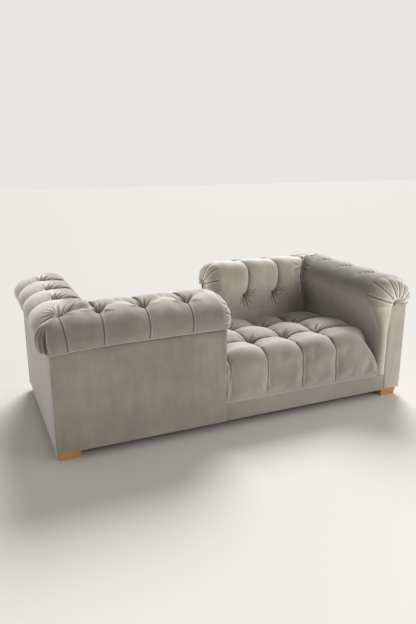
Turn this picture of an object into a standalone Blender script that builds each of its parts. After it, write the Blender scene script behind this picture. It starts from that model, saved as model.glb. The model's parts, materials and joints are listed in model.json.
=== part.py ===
"""Tete-a-tete sofa: two tufted corners that face opposite ways on one long seat.

Metres, +Z up. X runs along the sofa, the left sitter's back is at -Y, and the
origin is on the floor under the middle. The right half is the left half
turned by 180 degrees about Z.
"""
import math

import bmesh
import bpy
from mathutils import Vector

# Overall sizes, over the flat outside panels
LENGTH = 2.100
DEPTH = 1.014
HEIGHT = 0.752          # to the crowns of the rolls
BACK_END = 0.139        # from the middle of the sofa to the free end of each back
BASE_BOTTOM = 0.043     # underside of rails and panels, height of the feet
BAND_TOP = 0.147        # top of the rails and of the band over them
HEM_Z = 0.575           # lower edge of the rolls, top of the outside panels

# Fits and covers
GAP = 0.0003            # between pieces that touch
PANEL = 0.022           # padded outside panel
COVER = 0.012           # padded facing and band
PANEL_EDGE = 0.006      # rounding of the panels' edges

# Feet and frame
FOOT = 0.110
FOOT_INSET = 0.018      # from the panels' outer faces
FOOT_TAPER = 0.006      # each side, top to bottom
FOOT_EDGE = 0.003
RAIL = 0.040            # thickness of rails and posts
POST_WIDTH = 0.060
FRAME_TOP = 0.655       # top of the posts and top rails
TOP_RAIL = 0.070        # height of the top rails
TACK_Z = 0.225          # underside of the back tack rail
TACK_RAIL = 0.050
CROSS_RAIL = 0.085      # height of the centre cross rail
BLOCK = 0.115           # legs of the corner blocks
BLOCK_HEIGHT = 0.080
DUST_COVER = 0.0015
DUST_INSET = 0.015      # from the frame's outer face

# Seat suspension and core
SPRINGS = 8
WIRE = 0.002            # radius of the spring wire
SPRING_SWING = 0.022    # half width of a spring's zigzag
SPRING_LOOPS = 9
SPRING_SEAT = 0.020     # length of a spring's end on the rail
DECK_Z = 0.190
DECK = 0.006
CORE_TOP = 0.290
CORE_CUT = 0.100        # its corners beside the arms are cut off by this much, under the rounded seat
SKIRT = 0.027           # seat pad in front of the core

# Rolls and inside pads, as distances in from the outside panel's face
ROLL_OUT = 0.032        # overhang of the roll past the panel, before its swelling
HEM_OUT = 0.014         # overhang at the hem
ROLL_CREST = 0.158      # highest line of the roll
ROLL_IN = 0.262         # inner side of the roll
ROLL_Z = 0.640          # height of the roll's widest level
SEAT_IN = 0.180         # face of the pad beside the seat
SEAT_LEVEL = 0.400      # the pads are plain below this
CORNER_ROUND = 0.070    # radius of the roll round the outer corner
OUTER_SQUARE = 2.05     # 2 is a plain ellipse, more is squarer
INNER_SQUARE = 2.3
END_ROUND = 0.050       # length of the rounding at the free ends, up to the fans

# Tufts
TUFT_PITCH = 0.225
TUFT_FROM_END = 0.190   # last tuft from the free end of a back or arm
TUFT_IN = 0.064         # upper row, on the outer side of the rolls
TUFT_ROW_Z = 0.508      # lower row, on the inside faces
TUFT_DEPTH = 0.038
TUFT_WIDTH = 0.034
CREASE_DEPTH = 0.013
CREASE_WIDTH = 0.017
PUFF = 0.012            # swelling between the creases
PUFF_WIDTH = 0.050

# Seat pad
SEAT_TOP = 0.427        # before the swelling between tufts
SEAT_ROW = 0.270        # tuft rows, from the row along the middle
SEAT_TUFT_DEPTH = 0.034
NOSE = 0.085            # radius of the front edge
SEAM_DEPTH = 0.005      # seams down the front
EDGE_DROP = 0.050       # where the seat meets the arms and backs
EDGE_WIDTH = 0.045
SEAT_SLOPE = 0.052      # fall of the seat towards each back
SLOPE_ACROSS = 0.340    # from the middle of the sofa to where the fall is full
SLOPE_DEPTH = 0.320     # from the middle line, to both sides
SHOULDER_WIDTH = 0.200  # rounded end of each open front, beside the arm
SHOULDER_LEFT = 0.270   # share of the front's height that is left at its end
SHOULDER_BACK = 0.330   # from the middle line to where the rounding starts
SHOULDER_RUN = 0.130    # length over which it grows

# Fans on the ends of the rolls
FACING_WIDTH = 0.120    # in from the outside panel's face
BUTTON_IN = 0.090       # middle of the fan
BUTTON_Z = 0.588
BUTTON_RADIUS = 0.015
BUTTON_HEIGHT = 0.010
FAN_BULGE = 0.034       # past the end of the pad
FAN_PLEATS = 7
FAN_FOLD = 0.30         # depth of a fold, as a share of the bulge
STRIP_BULGE = 0.022     # soft strip beside the facing
DIMPLE = 0.0015         # under the button

# Spacing of the faces on the soft forms
FINE = 0.052
SEAT_FINE = 0.105

half_length = LENGTH / 2
half_depth = DEPTH / 2
frame_x = half_length - PANEL - GAP
frame_y = half_depth - PANEL - GAP
front_y = frame_y + GAP + COVER             # outer face of band, facings and seat
pad_inner = PANEL + GAP + RAIL + GAP        # pads against the frame
deck_top = DECK_Z + DECK
back_reach = half_length - BACK_END - COVER - GAP    # pad ends, from the outer corner
arm_reach = half_depth + frame_y
seat_x = half_length - SEAT_IN - GAP
seat_notch_y = half_depth - SEAT_IN - GAP
seat_notch_x = BACK_END - GAP
skirt_y = front_y - SKIRT

for piece in list(bpy.data.objects):
    bpy.data.objects.remove(piece, do_unlink=True)


def finish(name, colour, roughness, metallic=0.0):
    material = bpy.data.materials.new(name)
    material.use_nodes = True
    shader = material.node_tree.nodes["Principled BSDF"]
    shader.inputs["Base Color"].default_value = (*colour, 1.0)
    shader.inputs["Roughness"].default_value = roughness
    shader.inputs["Metallic"].default_value = metallic
    return material


velvet = finish("velvet", (0.42, 0.39, 0.34), 0.85)
honey_wood = finish("honey_wood", (0.62, 0.30, 0.09), 0.45)
frame_wood = finish("frame_wood", (0.66, 0.50, 0.32), 0.70)
spring_steel = finish("spring_steel", (0.45, 0.45, 0.46), 0.35, 1.0)
deck_cloth = finish("deck_cloth", (0.48, 0.40, 0.28), 0.95)
foam = finish("foam", (0.80, 0.74, 0.58), 0.95)
black_cloth = finish("black_cloth", (0.03, 0.03, 0.03), 0.95)

sofa = bpy.data.objects.new("sofa", None)
left_half = bpy.data.objects.new("left_half", None)
right_half = bpy.data.objects.new("right_half", None)
right_half.rotation_euler.z = math.pi
for empty in (sofa, left_half, right_half):
    bpy.context.scene.collection.objects.link(empty)
left_half.parent = right_half.parent = sofa


def add(name, bm, material, parent=sofa, place=(0.0, 0.0, 0.0)):
    """Turn a closed bmesh into a named object."""
    bmesh.ops.recalc_face_normals(bm, faces=bm.faces[:])
    mesh = bpy.data.meshes.new(name)
    bm.to_mesh(mesh)
    bm.free()
    mesh.materials.append(material)
    mesh.shade_smooth()
    mesh.set_sharp_from_angle(angle=math.radians(40))
    piece = bpy.data.objects.new(name, mesh)
    piece.parent = parent
    piece.location = place
    bpy.context.scene.collection.objects.link(piece)
    return piece


def turn_over(piece, name):
    """The right half's twin of a left-half piece, on the same mesh."""
    twin = bpy.data.objects.new(name, piece.data)
    twin.parent = right_half
    twin.location = piece.location
    bpy.context.scene.collection.objects.link(twin)


def slab(low, high, edge=0.0):
    """A box between two corners about its own middle, with rounded edges; returns it and the middle."""
    bm = bmesh.new()
    bmesh.ops.create_cube(bm, size=1.0)
    low, high = Vector(low), Vector(high)
    bmesh.ops.scale(bm, vec=high - low, verts=bm.verts[:])
    if edge:
        bmesh.ops.bevel(bm, geom=bm.edges[:], offset=edge, segments=2, profile=0.5, affect="EDGES")
    return bm, (low + high) / 2


def box(name, low, high, material, parent=sofa, edge=0.0):
    bm, middle = slab(low, high, edge)
    return add(name, bm, material, parent, middle)


def prism(name, outline, bottom, top, material):
    """A plate of the given plan outline."""
    bm = bmesh.new()
    face = bm.faces.new([bm.verts.new((x, y, bottom)) for x, y in outline])
    raised = bmesh.ops.extrude_face_region(bm, geom=[face])["geom"]
    lifted = [v for v in raised if isinstance(v, bmesh.types.BMVert)]
    bmesh.ops.translate(bm, vec=(0, 0, top - bottom), verts=lifted)
    return add(name, bm, material)


def rounded(share):
    """Smooth step from 0 to 1."""
    share = min(max(share, 0.0), 1.0)
    return share * share * (3 - 2 * share)


def spread(stops, step):
    """The stops in order, with even steps of at most the given size between them."""
    stops = sorted(stops)
    lines = [stops[0]]
    for low, high in zip(stops, stops[1:]):
        parts = max(1, math.ceil((high - low) / step - 1e-6))
        lines += [low + (high - low) * k / parts for k in range(1, parts + 1)]
    return lines


def around(middles, width):
    """Lines on both sides of each crease and along it."""
    return [m + side for m in middles for side in (-width, 0.0, width)]


class Profile:
    """A curve in a plane, read by the length along it."""

    def __init__(self, points):
        self.points = [Vector(p) for p in points]
        self.marks = [0.0]
        for one, two in zip(self.points, self.points[1:]):
            self.marks.append(self.marks[-1] + (two - one).length)
        self.length = self.marks[-1]

    def at(self, s):
        s = min(max(s, 0.0), self.length)
        k = next((k for k, mark in enumerate(self.marks[1:]) if s <= mark), len(self.marks) - 2)
        share = (s - self.marks[k]) / (self.marks[k + 1] - self.marks[k])
        return self.points[k].lerp(self.points[k + 1], share)

    def out(self, s, reach=0.004):
        """Unit normal, to the left of the direction of travel."""
        along = self.at(s + reach) - self.at(s - reach)
        return Vector((-along.y, along.x)).normalized()

    def where(self, test):
        """Length at which the curve first passes the test."""
        return next(self.marks[k] for k, p in enumerate(self.points) if test(p))

    def down_to(self, level, past):
        """Length at which the curve, further in than past, comes down to a level."""
        k = next(k for k, p in enumerate(self.points) if p.x > past and p.y <= level)
        over, under = self.points[k - 1].y, self.points[k].y
        return self.marks[k] - (self.marks[k] - self.marks[k - 1]) * (level - under) / (over - under)


# Feet, base frame and dust cover
for end, ex in (("left", -1), ("right", 1)):
    for side, sy in (("front", -1), ("rear", 1)):
        reach_x, reach_y = half_length - FOOT_INSET, half_depth - FOOT_INSET
        low_x, high_x = sorted((ex * reach_x, ex * (reach_x - FOOT)))
        low_y, high_y = sorted((sy * reach_y, sy * (reach_y - FOOT)))
        bm, middle = slab((low_x, low_y, 0), (high_x, high_y, BASE_BOTTOM - GAP))
        slim = (FOOT - 2 * FOOT_TAPER) / FOOT
        bmesh.ops.scale(bm, vec=(slim, slim, 1), verts=[v for v in bm.verts if v.co.z < 0])
        bmesh.ops.bevel(bm, geom=bm.edges[:], offset=FOOT_EDGE, segments=2, profile=0.5, affect="EDGES")
        add(f"foot_{side}_{end}", bm, honey_wood, place=middle)
        inner = Vector((ex * (frame_x - RAIL - GAP), sy * (frame_y - RAIL - GAP)))
        prism(f"corner_block_{side}_{end}",
              [inner, inner - Vector((ex * BLOCK, 0)), inner - Vector((0, sy * BLOCK))],
              BASE_BOTTOM, BASE_BOTTOM + BLOCK_HEIGHT, frame_wood)

for side, sy in (("front", -1), ("rear", 1)):
    low_y, high_y = sorted((sy * frame_y, sy * (frame_y - RAIL)))
    box(f"{side}_rail", (-frame_x, low_y, BASE_BOTTOM), (frame_x, high_y, BAND_TOP), frame_wood)
inside_y = frame_y - RAIL - GAP
for end, ex in (("left", -1), ("right", 1)):
    low_x, high_x = sorted((ex * frame_x, ex * (frame_x - RAIL)))
    box(f"{end}_side_rail", (low_x, -inside_y, BASE_BOTTOM), (high_x, inside_y, BAND_TOP), frame_wood)
box("centre_cross_rail", (-RAIL / 2, -inside_y, BASE_BOTTOM), (RAIL / 2, inside_y, BASE_BOTTOM + CROSS_RAIL),
    frame_wood)

cover_x, cover_y = frame_x - DUST_INSET, frame_y - DUST_INSET
clear_x = half_length - FOOT_INSET - FOOT - GAP
clear_y = half_depth - FOOT_INSET - FOOT - GAP
quarter = [(cover_x, clear_y), (clear_x, clear_y), (clear_x, cover_y)]
prism("dust_cover",
      quarter + [(-x, y) for x, y in reversed(quarter)]
      + [(-x, -y) for x, y in quarter] + [(x, -y) for x, y in reversed(quarter)],
      BASE_BOTTOM - GAP - DUST_COVER, BASE_BOTTOM - GAP, black_cloth)

# Springs, deck and core of the seat
spring_end = frame_y - RAIL + SPRING_SEAT
spring_low = BAND_TOP + GAP + WIRE
spring_rise = DECK_Z - GAP - WIRE - spring_low
for number in range(1, SPRINGS + 1):
    curve = bpy.data.curves.new(f"seat_spring_{number}", "CURVE")
    curve.dimensions = "3D"
    curve.bevel_depth = WIRE
    curve.bevel_resolution = 1
    curve.use_fill_caps = True
    steps = 4 * SPRING_LOOPS
    path = curve.splines.new("POLY")
    path.points.add(steps + 2)
    for k in range(steps + 1):
        share = k / steps
        swing = SPRING_SWING * math.sin(2 * math.pi * SPRING_LOOPS * share)
        y = (2 * share - 1) * inside_y
        path.points[k + 1].co = (swing, y, spring_low + spring_rise * math.sin(math.pi * share), 1)
    path.points[0].co = (0, -spring_end, spring_low, 1)
    path.points[-1].co = (0, spring_end, spring_low, 1)
    curve.materials.append(spring_steel)
    spring = bpy.data.objects.new(curve.name, curve)
    spring.parent = sofa
    spring.location.x = seat_x * ((2 * number - 1) / SPRINGS - 1)
    bpy.context.scene.collection.objects.link(spring)

box("seat_deck", (-seat_x, -inside_y, DECK_Z), (seat_x, inside_y, deck_top), deck_cloth)


def seat_plan(front):
    """Seat core's outline, with a notch for each back; the given distance is to its open fronts."""
    half = [(seat_x - CORE_CUT, -front), (seat_x, CORE_CUT - front), (seat_x, seat_notch_y),
            (seat_notch_x, seat_notch_y), (seat_notch_x, front)]
    return half + [(-x, -y) for x, y in half]


prism("seat_core", seat_plan(skirt_y - GAP), deck_top + GAP, CORE_TOP, foam)


# Tufted seat pad
tuft_count = int((seat_x - SHOULDER_WIDTH) / TUFT_PITCH + 0.5)
seat_columns = [(k + 0.5) * TUFT_PITCH for k in range(-tuft_count, tuft_count)]


def seat_section():
    """From the foot of the front skirt over the seat to the foot of the rear skirt."""
    points = [(-front_y, BAND_TOP + GAP)]
    turns = 8
    for k in range(turns + 1):
        angle = math.pi / 2 * k / turns
        points.append((-front_y + NOSE * (1 - math.cos(angle)), SEAT_TOP - NOSE * (1 - math.sin(angle))))
    return Profile(points + [(-y, z) for y, z in reversed(points)])


def seat_relief(section, x, s):
    """Height of the tufted surface over the plain section."""
    y, z = section.at(s)
    level = rounded((z - BAND_TOP) / 0.12)
    top = rounded((z - (SEAT_TOP - NOSE)) / NOSE)
    off_x = min(abs(x - c) for c in seat_columns)
    off_y = min(abs(y - row) for row in (-SEAT_ROW, 0.0, SEAT_ROW))
    swell_x = 1 - math.exp(-(off_x / PUFF_WIDTH) ** 2)
    swell_y = 1 - math.exp(-(off_y / PUFF_WIDTH) ** 2)
    crease_x = math.exp(-(off_x / CREASE_WIDTH) ** 2)
    crease_y = math.exp(-(off_y / CREASE_WIDTH) ** 2)
    lift = top * (PUFF * swell_x * swell_y - CREASE_DEPTH * max(crease_x, crease_y)
                  - SEAT_TUFT_DEPTH * math.exp(-math.hypot(off_x, off_y) / TUFT_WIDTH))
    lift += (1 - top) * level * (PUFF / 3 * swell_x - SEAM_DEPTH * crease_x)
    edges = [seat_x - abs(x)]
    for turn in (1, -1):
        if turn * x < -seat_notch_x:
            edges.append(turn * y + seat_notch_y)
    lift -= top * EDGE_DROP * math.exp(-max(min(edges), 0.0) / EDGE_WIDTH)
    return lift


def seat_fall(x, y, z):
    """Fall of the seat towards each back, and of each open front where it rounds off beside the arm."""
    rise = z - BAND_TOP
    level = rounded(rise / (SEAT_TOP - NOSE - BAND_TOP))
    fall = 0.0
    for turn in (1, -1):
        slope = rounded(turn * x / SLOPE_ACROSS) * rounded((turn * y / SLOPE_DEPTH + 1) / 2)
        near = min(max(1 - (seat_x - turn * x) / SHOULDER_WIDTH, 0.0), 1.0)
        forward = rounded((-turn * y - SHOULDER_BACK) / SHOULDER_RUN)
        left = math.sqrt(1 - (1 - SHOULDER_LEFT ** 2) * near ** 2)
        fall += SEAT_SLOPE * slope * level + rise * forward * (1 - left)
    return fall


def build_seat():
    section = seat_section()
    notch = section.where(lambda p: p.x > -front_y + NOSE - 1e-6) + (front_y - NOSE) - seat_notch_y
    middle = section.length / 2
    nose_start = section.marks[1]
    nose_end = notch - (front_y - NOSE) + seat_notch_y
    nose_rows = [nose_start + (nose_end - nose_start) * k / 3 for k in range(4)]
    front_rows = [0.0, nose_start * 0.6] + nose_rows + [notch]
    tuft_rows = around([middle - SEAT_ROW, middle, middle + SEAT_ROW], CREASE_WIDTH)
    rows = spread(front_rows + tuft_rows + [section.length - s for s in front_rows], SEAT_FINE)
    ends = [seat_x - SHOULDER_WIDTH * share for share in (0.0, 0.08, 0.22, 0.45, 0.75)] + [seat_notch_x]
    columns = spread(around(seat_columns, CREASE_WIDTH) + ends + [-x for x in ends], SEAT_FINE)

    bm = bmesh.new()
    grid = {}

    def kept(x, s):
        return (x >= -seat_notch_x - 1e-9 or s >= notch - 1e-9) and (
            x <= seat_notch_x + 1e-9 or s <= section.length - notch + 1e-9)

    for i, x in enumerate(columns):
        for j, s in enumerate(rows):
            if kept(x, s):
                spot = section.at(s)
                if 0.0 < s < section.length:
                    spot = spot + section.out(s) * seat_relief(section, x, s)
                    spot.y -= seat_fall(x, spot.x, spot.y)
                grid[i, j] = bm.verts.new((x, spot.x, spot.y))
    for i in range(len(columns) - 1):
        for j in range(len(rows) - 1):
            corners = [(i, j), (i + 1, j), (i + 1, j + 1), (i, j + 1)]
            middle_x = (columns[i] + columns[i + 1]) / 2
            middle_s = (rows[j] + rows[j + 1]) / 2
            if kept(middle_x, middle_s):
                bm.faces.new([grid[c] for c in corners])

    # Underside: the plan of the core, the inner faces of the two skirts and the corners beside the core
    under = [bm.verts.new((x, y, CORE_TOP + GAP)) for x, y in seat_plan(skirt_y)]
    bm.faces.new(under)
    feet, corners = [], []
    for turn, first in ((1, 0), (-1, 5)):
        foot = bm.verts.new((-turn * seat_notch_x, -turn * skirt_y, BAND_TOP + GAP))
        end_foot = bm.verts.new((turn * seat_x, -turn * skirt_y, BAND_TOP + GAP))
        end_deck = bm.verts.new((turn * seat_x, -turn * skirt_y, deck_top + GAP))
        cut = [bm.verts.new((*under[first + k].co.xy, deck_top + GAP)) for k in (0, 1)]
        bm.faces.new([under[first], under[first - 1], foot, end_foot, end_deck, cut[0]])
        bm.faces.new([under[first], under[first + 1], cut[1], cut[0]])
        bm.faces.new([*cut, end_deck])
        feet.append([end_foot, foot])
        corners.append([under[first + 2], under[first + 1], cut[1], end_deck, end_foot])

    # Walls round the rim: each joins one straight run of the skin to the underside
    last_i, last_j = len(columns) - 1, len(rows) - 1
    line = {x: columns.index(x) for x in (-seat_notch_x, seat_notch_x)}
    low_j = min(range(len(rows)), key=lambda j: abs(rows[j] - notch))
    high_j = last_j - low_j
    runs = [
        ([(last_i, j) for j in range(high_j + 1)], corners[0]),
        ([(i, high_j) for i in range(last_i, line[seat_notch_x] - 1, -1)], [under[3], under[2]]),
        ([(line[seat_notch_x], j) for j in range(high_j, last_j + 1)], [feet[1][1], under[4], under[3]]),
        ([(i, last_j) for i in range(line[seat_notch_x], -1, -1)], feet[1]),
        ([(0, j) for j in range(last_j, low_j - 1, -1)], corners[1]),
        ([(i, low_j) for i in range(line[-seat_notch_x] + 1)], [under[8], under[7]]),
        ([(line[-seat_notch_x], j) for j in range(low_j, -1, -1)], [feet[0][1], under[9], under[8]]),
        ([(i, 0) for i in range(line[-seat_notch_x], last_i + 1)], feet[0]),
    ]
    for run, inner in runs:
        bm.faces.new([grid[c] for c in run] + inner)
    return bm


add("seat_pad", build_seat(), velvet)


# Tufted backs and arms. Each wall is laid out by three distances: along it from
# the outer corner, in from the outside panel's face, and up.
def wall_section(foot):
    """From the hem over the roll and down the inside to the foot of the pad."""
    top = HEIGHT - PUFF
    points = [(-HEM_OUT, HEM_Z + GAP), (-(HEM_OUT + ROLL_OUT) / 2, (HEM_Z * 2 + ROLL_Z) / 3)]
    turns = 48
    for k in range(turns + 1):
        angle = math.pi * k / turns
        reach, rise = math.cos(angle), math.sin(angle)
        if k < turns / 2:
            wide, power = ROLL_CREST + ROLL_OUT, 2 / OUTER_SQUARE
        else:
            wide, power = ROLL_IN - ROLL_CREST, 2 / INNER_SQUARE
        points.append((ROLL_CREST - wide * math.copysign(abs(reach) ** power, reach),
                       ROLL_Z + (top - ROLL_Z) * rise ** power))
    drops = 10
    for k in range(1, drops + 1):
        ease = (1 + math.cos(math.pi * k / drops)) / 2
        points.append((SEAT_IN + (ROLL_IN - SEAT_IN) * ease, ROLL_Z + (SEAT_LEVEL - ROLL_Z) * k / drops))
    return Profile(points + [(SEAT_IN, foot)])


def wall_columns(reach):
    """Tuft columns of a wall, counted from its free end."""
    columns = []
    spot = reach - TUFT_FROM_END
    while spot > ROLL_IN - CREASE_WIDTH:        # the nearest may run into the inside corner
        columns.append(spot)
        spot -= TUFT_PITCH
    return columns


def wall_relief(section, rows, columns, reach, along, s):
    """Height of the tufted surface over the plain section."""
    inward, z = section.at(s)
    roll_row, inside_row = rows
    plain = rounded(s / 0.03) * rounded((reach - along) / 0.06) * (
        rounded((z - SEAT_LEVEL) / 0.06) if s > roll_row else 1.0)
    corner = max(along - max(inward, 0.0), 0.0)
    off = min([abs(along - c) for c in columns] + [corner])
    inside = [c for c in columns if c > ROLL_IN + CREASE_WIDTH * 2]     # nearer ones end in the corner
    off_row = min([math.hypot(off, s - roll_row)] + [math.hypot(along - c, s - inside_row) for c in inside])
    lift = PUFF * (1 - math.exp(-(off / PUFF_WIDTH) ** 2))
    lift -= CREASE_DEPTH * math.exp(-(off / CREASE_WIDTH) ** 2)
    lift -= TUFT_DEPTH * math.exp(-off_row / TUFT_WIDTH)
    return plain * lift


def turn_corner(along, inward):
    """Round the roll about the outer corner; the pads meet on the diagonal."""
    pivot = CORNER_ROUND - ROLL_OUT
    if along < pivot and inward < pivot:
        angle = math.pi / 4 * (pivot - along) / (pivot - inward)
        along, inward = pivot - (pivot - inward) * math.sin(angle), pivot - (pivot - inward) * math.cos(angle)
    return along, inward


def end_share(depth):
    """Share of the section that is left at a depth into the rounded free end."""
    return math.sqrt(1 - (max(depth, 0.0) / (END_ROUND + FAN_BULGE)) ** 2)


def draw_in(spot, share):
    """Draw a point of the section in to the fan's button, or below it to the facing's edge."""
    inside = rounded((BUTTON_Z + FAN_BULGE - spot.y) / FAN_BULGE) if spot.x > FACING_WIDTH else 0.0
    level = min(spot.y, BUTTON_Z) if spot.x > FACING_WIDTH else BUTTON_Z
    base = Vector((BUTTON_IN + (FACING_WIDTH + GAP - BUTTON_IN) * inside, level))
    return base.lerp(spot, share)


def place_back(along, inward, z):
    return -half_length + along, -half_depth + inward, z


def place_arm(along, inward, z):
    return -half_length + inward, -half_depth + along, z


def build_pad(place, reach, foot):
    section = wall_section(foot)
    roll_row = section.where(lambda p: p.x >= TUFT_IN and p.y > ROLL_Z)
    inside_row = section.where(lambda p: p.x > ROLL_IN / 2 and p.y <= TUFT_ROW_Z)
    seat_row = section.where(lambda p: p.x > ROLL_IN / 2 and p.y <= SEAT_LEVEL)
    columns = wall_columns(reach)
    rows = spread([0.0, section.marks[2], seat_row, section.length]
                  + around([roll_row, inside_row], CREASE_WIDTH), FINE)
    straight = ROLL_IN + CREASE_WIDTH / 2       # columns past here run square across the wall
    rounding = [reach - END_ROUND * share for share in (1.0, 0.5, 0.15)]
    lines = spread([0.0, CREASE_WIDTH, straight, reach] + rounding + around(columns, CREASE_WIDTH), FINE)

    bm = bmesh.new()

    def vert(along, inward, z):
        return bm.verts.new(place(*turn_corner(along, inward), z))

    def reach_along(line, inward):
        """Lines near the corner fan out from the diagonal."""
        if line >= straight:
            return line
        start = inward + GAP
        return start + (straight - start) * line / straight

    grid = []
    for line in lines:
        chain = []
        for s in rows:
            spot = section.at(s)
            along = reach_along(line, spot.x)
            lift = wall_relief(section, (roll_row, inside_row), columns, reach, along, s)
            spot = spot + section.out(s) * lift
            if s == rows[0]:
                spot.y = HEM_Z + GAP
            elif s == rows[-1]:
                spot = section.at(s)
            spot = draw_in(spot, end_share(line - reach + END_ROUND))
            chain.append(vert(reach_along(line, spot.x), spot.x, spot.y))
        grid.append(chain)
    for one, two in zip(grid, grid[1:]):
        for j in range(len(rows) - 1):
            bm.faces.new([one[j], one[j + 1], two[j + 1], two[j]])

    # Hollow that sits on the frame
    seat_line = [(pad_inner, foot), (pad_inner, FRAME_TOP + GAP),
                 (PANEL, FRAME_TOP + GAP), (PANEL, HEM_Z + GAP)]
    mitre = [bm.verts.new(place(t + GAP, t, z)) for t, z in seat_line]
    end = [bm.verts.new(place(reach, t, z)) for t, z in seat_line]
    for k in range(len(seat_line) - 1):
        bm.faces.new([mitre[k], end[k], end[k + 1], mitre[k + 1]])
    bm.faces.new([chain[-1] for chain in grid] + [end[0], mitre[0]])
    bm.faces.new([chain[0] for chain in grid] + [end[-1], mitre[-1]])
    bm.faces.new(grid[0] + mitre)
    bm.faces.new(grid[-1] + end)
    return bm


def build_fan(place, reach, foot):
    """Pleated end of a roll, drawn in to its button, with the soft strip below it."""
    section = wall_section(foot)
    middle = Vector((BUTTON_IN, BUTTON_Z))
    strip_in = FACING_WIDTH + GAP
    seat_height = COVER + GAP
    rim_share = end_share(END_ROUND)
    over_seat = SEAT_TOP + 2 * PUFF             # below this the strip keeps clear of the seat
    start = section.down_to(BUTTON_Z, strip_in)
    steps = 4 * FAN_PLEATS
    marks = [start * k / steps for k in range(steps + 1)]
    marks += spread([start, section.down_to(over_seat, strip_in), section.length], 2 * FINE)[1:]
    bm = bmesh.new()
    face = reach + GAP

    def spoke(k, mark):
        rim = draw_in(section.at(mark), rim_share)
        fan = k <= steps
        base = middle if fan else Vector((strip_in, min(rim.y, BUTTON_Z)))
        fold = FAN_FOLD * (1 - abs(math.sin(math.pi * k / 4))) if fan else 0.0
        bulge = FAN_BULGE if fan else COVER + (STRIP_BULGE - COVER) * rounded((rim.y - over_seat) / 0.08)
        if not fan:
            bulge += (FAN_BULGE - STRIP_BULGE) * rounded((rim.y - BUTTON_Z + 0.08) / 0.08)
        inner = BUTTON_RADIUS * 1.2 / (rim - base).length if fan else 0.0
        edge = (strip_in - BUTTON_IN) / (rim - base).length      # for a point at the strip on the last spoke
        shares = [inner, edge if k == steps else inner + (1 - inner) * 0.25] if fan else [0.0]
        shares += [inner + (1 - inner) * q for q in (0.55, 0.85)]
        chain = []
        for share in shares:
            rise = rounded((share - inner) / 0.35)
            crown = (END_ROUND + FAN_BULGE) * math.sqrt(1 - (share * rim_share) ** 2) - END_ROUND
            dome = bulge * crown / FAN_BULGE * (1 - fold * rise * (1 - share / 2))
            height = max(dome, seat_height * (1 - share))
            if fan:
                height = seat_height + (dome - seat_height) * rise
            spot = base.lerp(rim, share)
            chain.append(bm.verts.new(place(face + height, spot.x, spot.y)))
        chain.append(bm.verts.new(place(face, rim.x, rim.y)))
        return chain

    chains = [spoke(k, mark) for k, mark in enumerate(marks)]
    fan, strip = chains[:steps + 1], [chains[steps][1:]] + chains[steps + 1:]
    for sheet in (fan, strip):
        for one, two in zip(sheet, sheet[1:]):
            for j in range(len(one) - 1):
                bm.faces.new([one[j], one[j + 1], two[j + 1], two[j]])
    tip = bm.verts.new(place(face + seat_height - DIMPLE, *middle))
    for one, two in zip(fan, fan[1:]):
        bm.faces.new([tip, one[0], two[0]])

    # Flat back, and the edges along the facing
    back_tip = bm.verts.new(place(face, *middle))
    back_top = bm.verts.new(place(face, strip_in, BUTTON_Z))
    back_foot = bm.verts.new(place(face, strip_in, foot))
    bm.faces.new([tip] + chains[0] + [back_tip])
    bm.faces.new([tip, *fan[-1][:2], back_top, back_tip])
    bm.faces.new([chain[0] for chain in strip] + [back_foot, back_top])
    bm.faces.new(chains[-1] + [back_foot])
    bm.faces.new([chain[-1] for chain in chains] + [back_foot, back_top, back_tip])
    return bm


def build_button(place, reach):
    """Domed button on the middle of a fan."""
    bm = bmesh.new()
    face = reach + GAP + COVER + GAP + GAP
    sides, rings = 16, 4
    tip = bm.verts.new(place(face + BUTTON_HEIGHT, BUTTON_IN, BUTTON_Z))
    loops = []
    for ring in range(1, rings + 1):
        lean = math.pi / 2 * ring / rings
        loops.append([bm.verts.new(place(face + BUTTON_HEIGHT * math.cos(lean),
                                         BUTTON_IN + BUTTON_RADIUS * math.sin(lean) * math.cos(turn),
                                         BUTTON_Z + BUTTON_RADIUS * math.sin(lean) * math.sin(turn)))
                      for turn in (2 * math.pi * k / sides for k in range(sides))])
    for k in range(sides):
        nxt = (k + 1) % sides
        bm.faces.new([tip, loops[0][k], loops[0][nxt]])
        for one, two in zip(loops, loops[1:]):
            bm.faces.new([one[k], two[k], two[nxt], one[nxt]])
    bm.faces.new(loops[-1])
    return bm


back_foot_z, arm_foot_z = deck_top + GAP, BAND_TOP + GAP
back_plane = -half_length + back_reach      # end of the back's frame and pad
post_low = BAND_TOP + GAP
rail_start_x, rail_end_x = -frame_x + RAIL + GAP, back_plane - POST_WIDTH - GAP
rail_start_y, rail_end_y = -frame_y + RAIL + GAP, frame_y - POST_WIDTH - GAP
wall_y = (-frame_y, -frame_y + RAIL)        # the back's frame, front to rear
wall_x = (-frame_x, -frame_x + RAIL)        # the arm's frame, left to right
facing_start = PANEL + GAP

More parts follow.
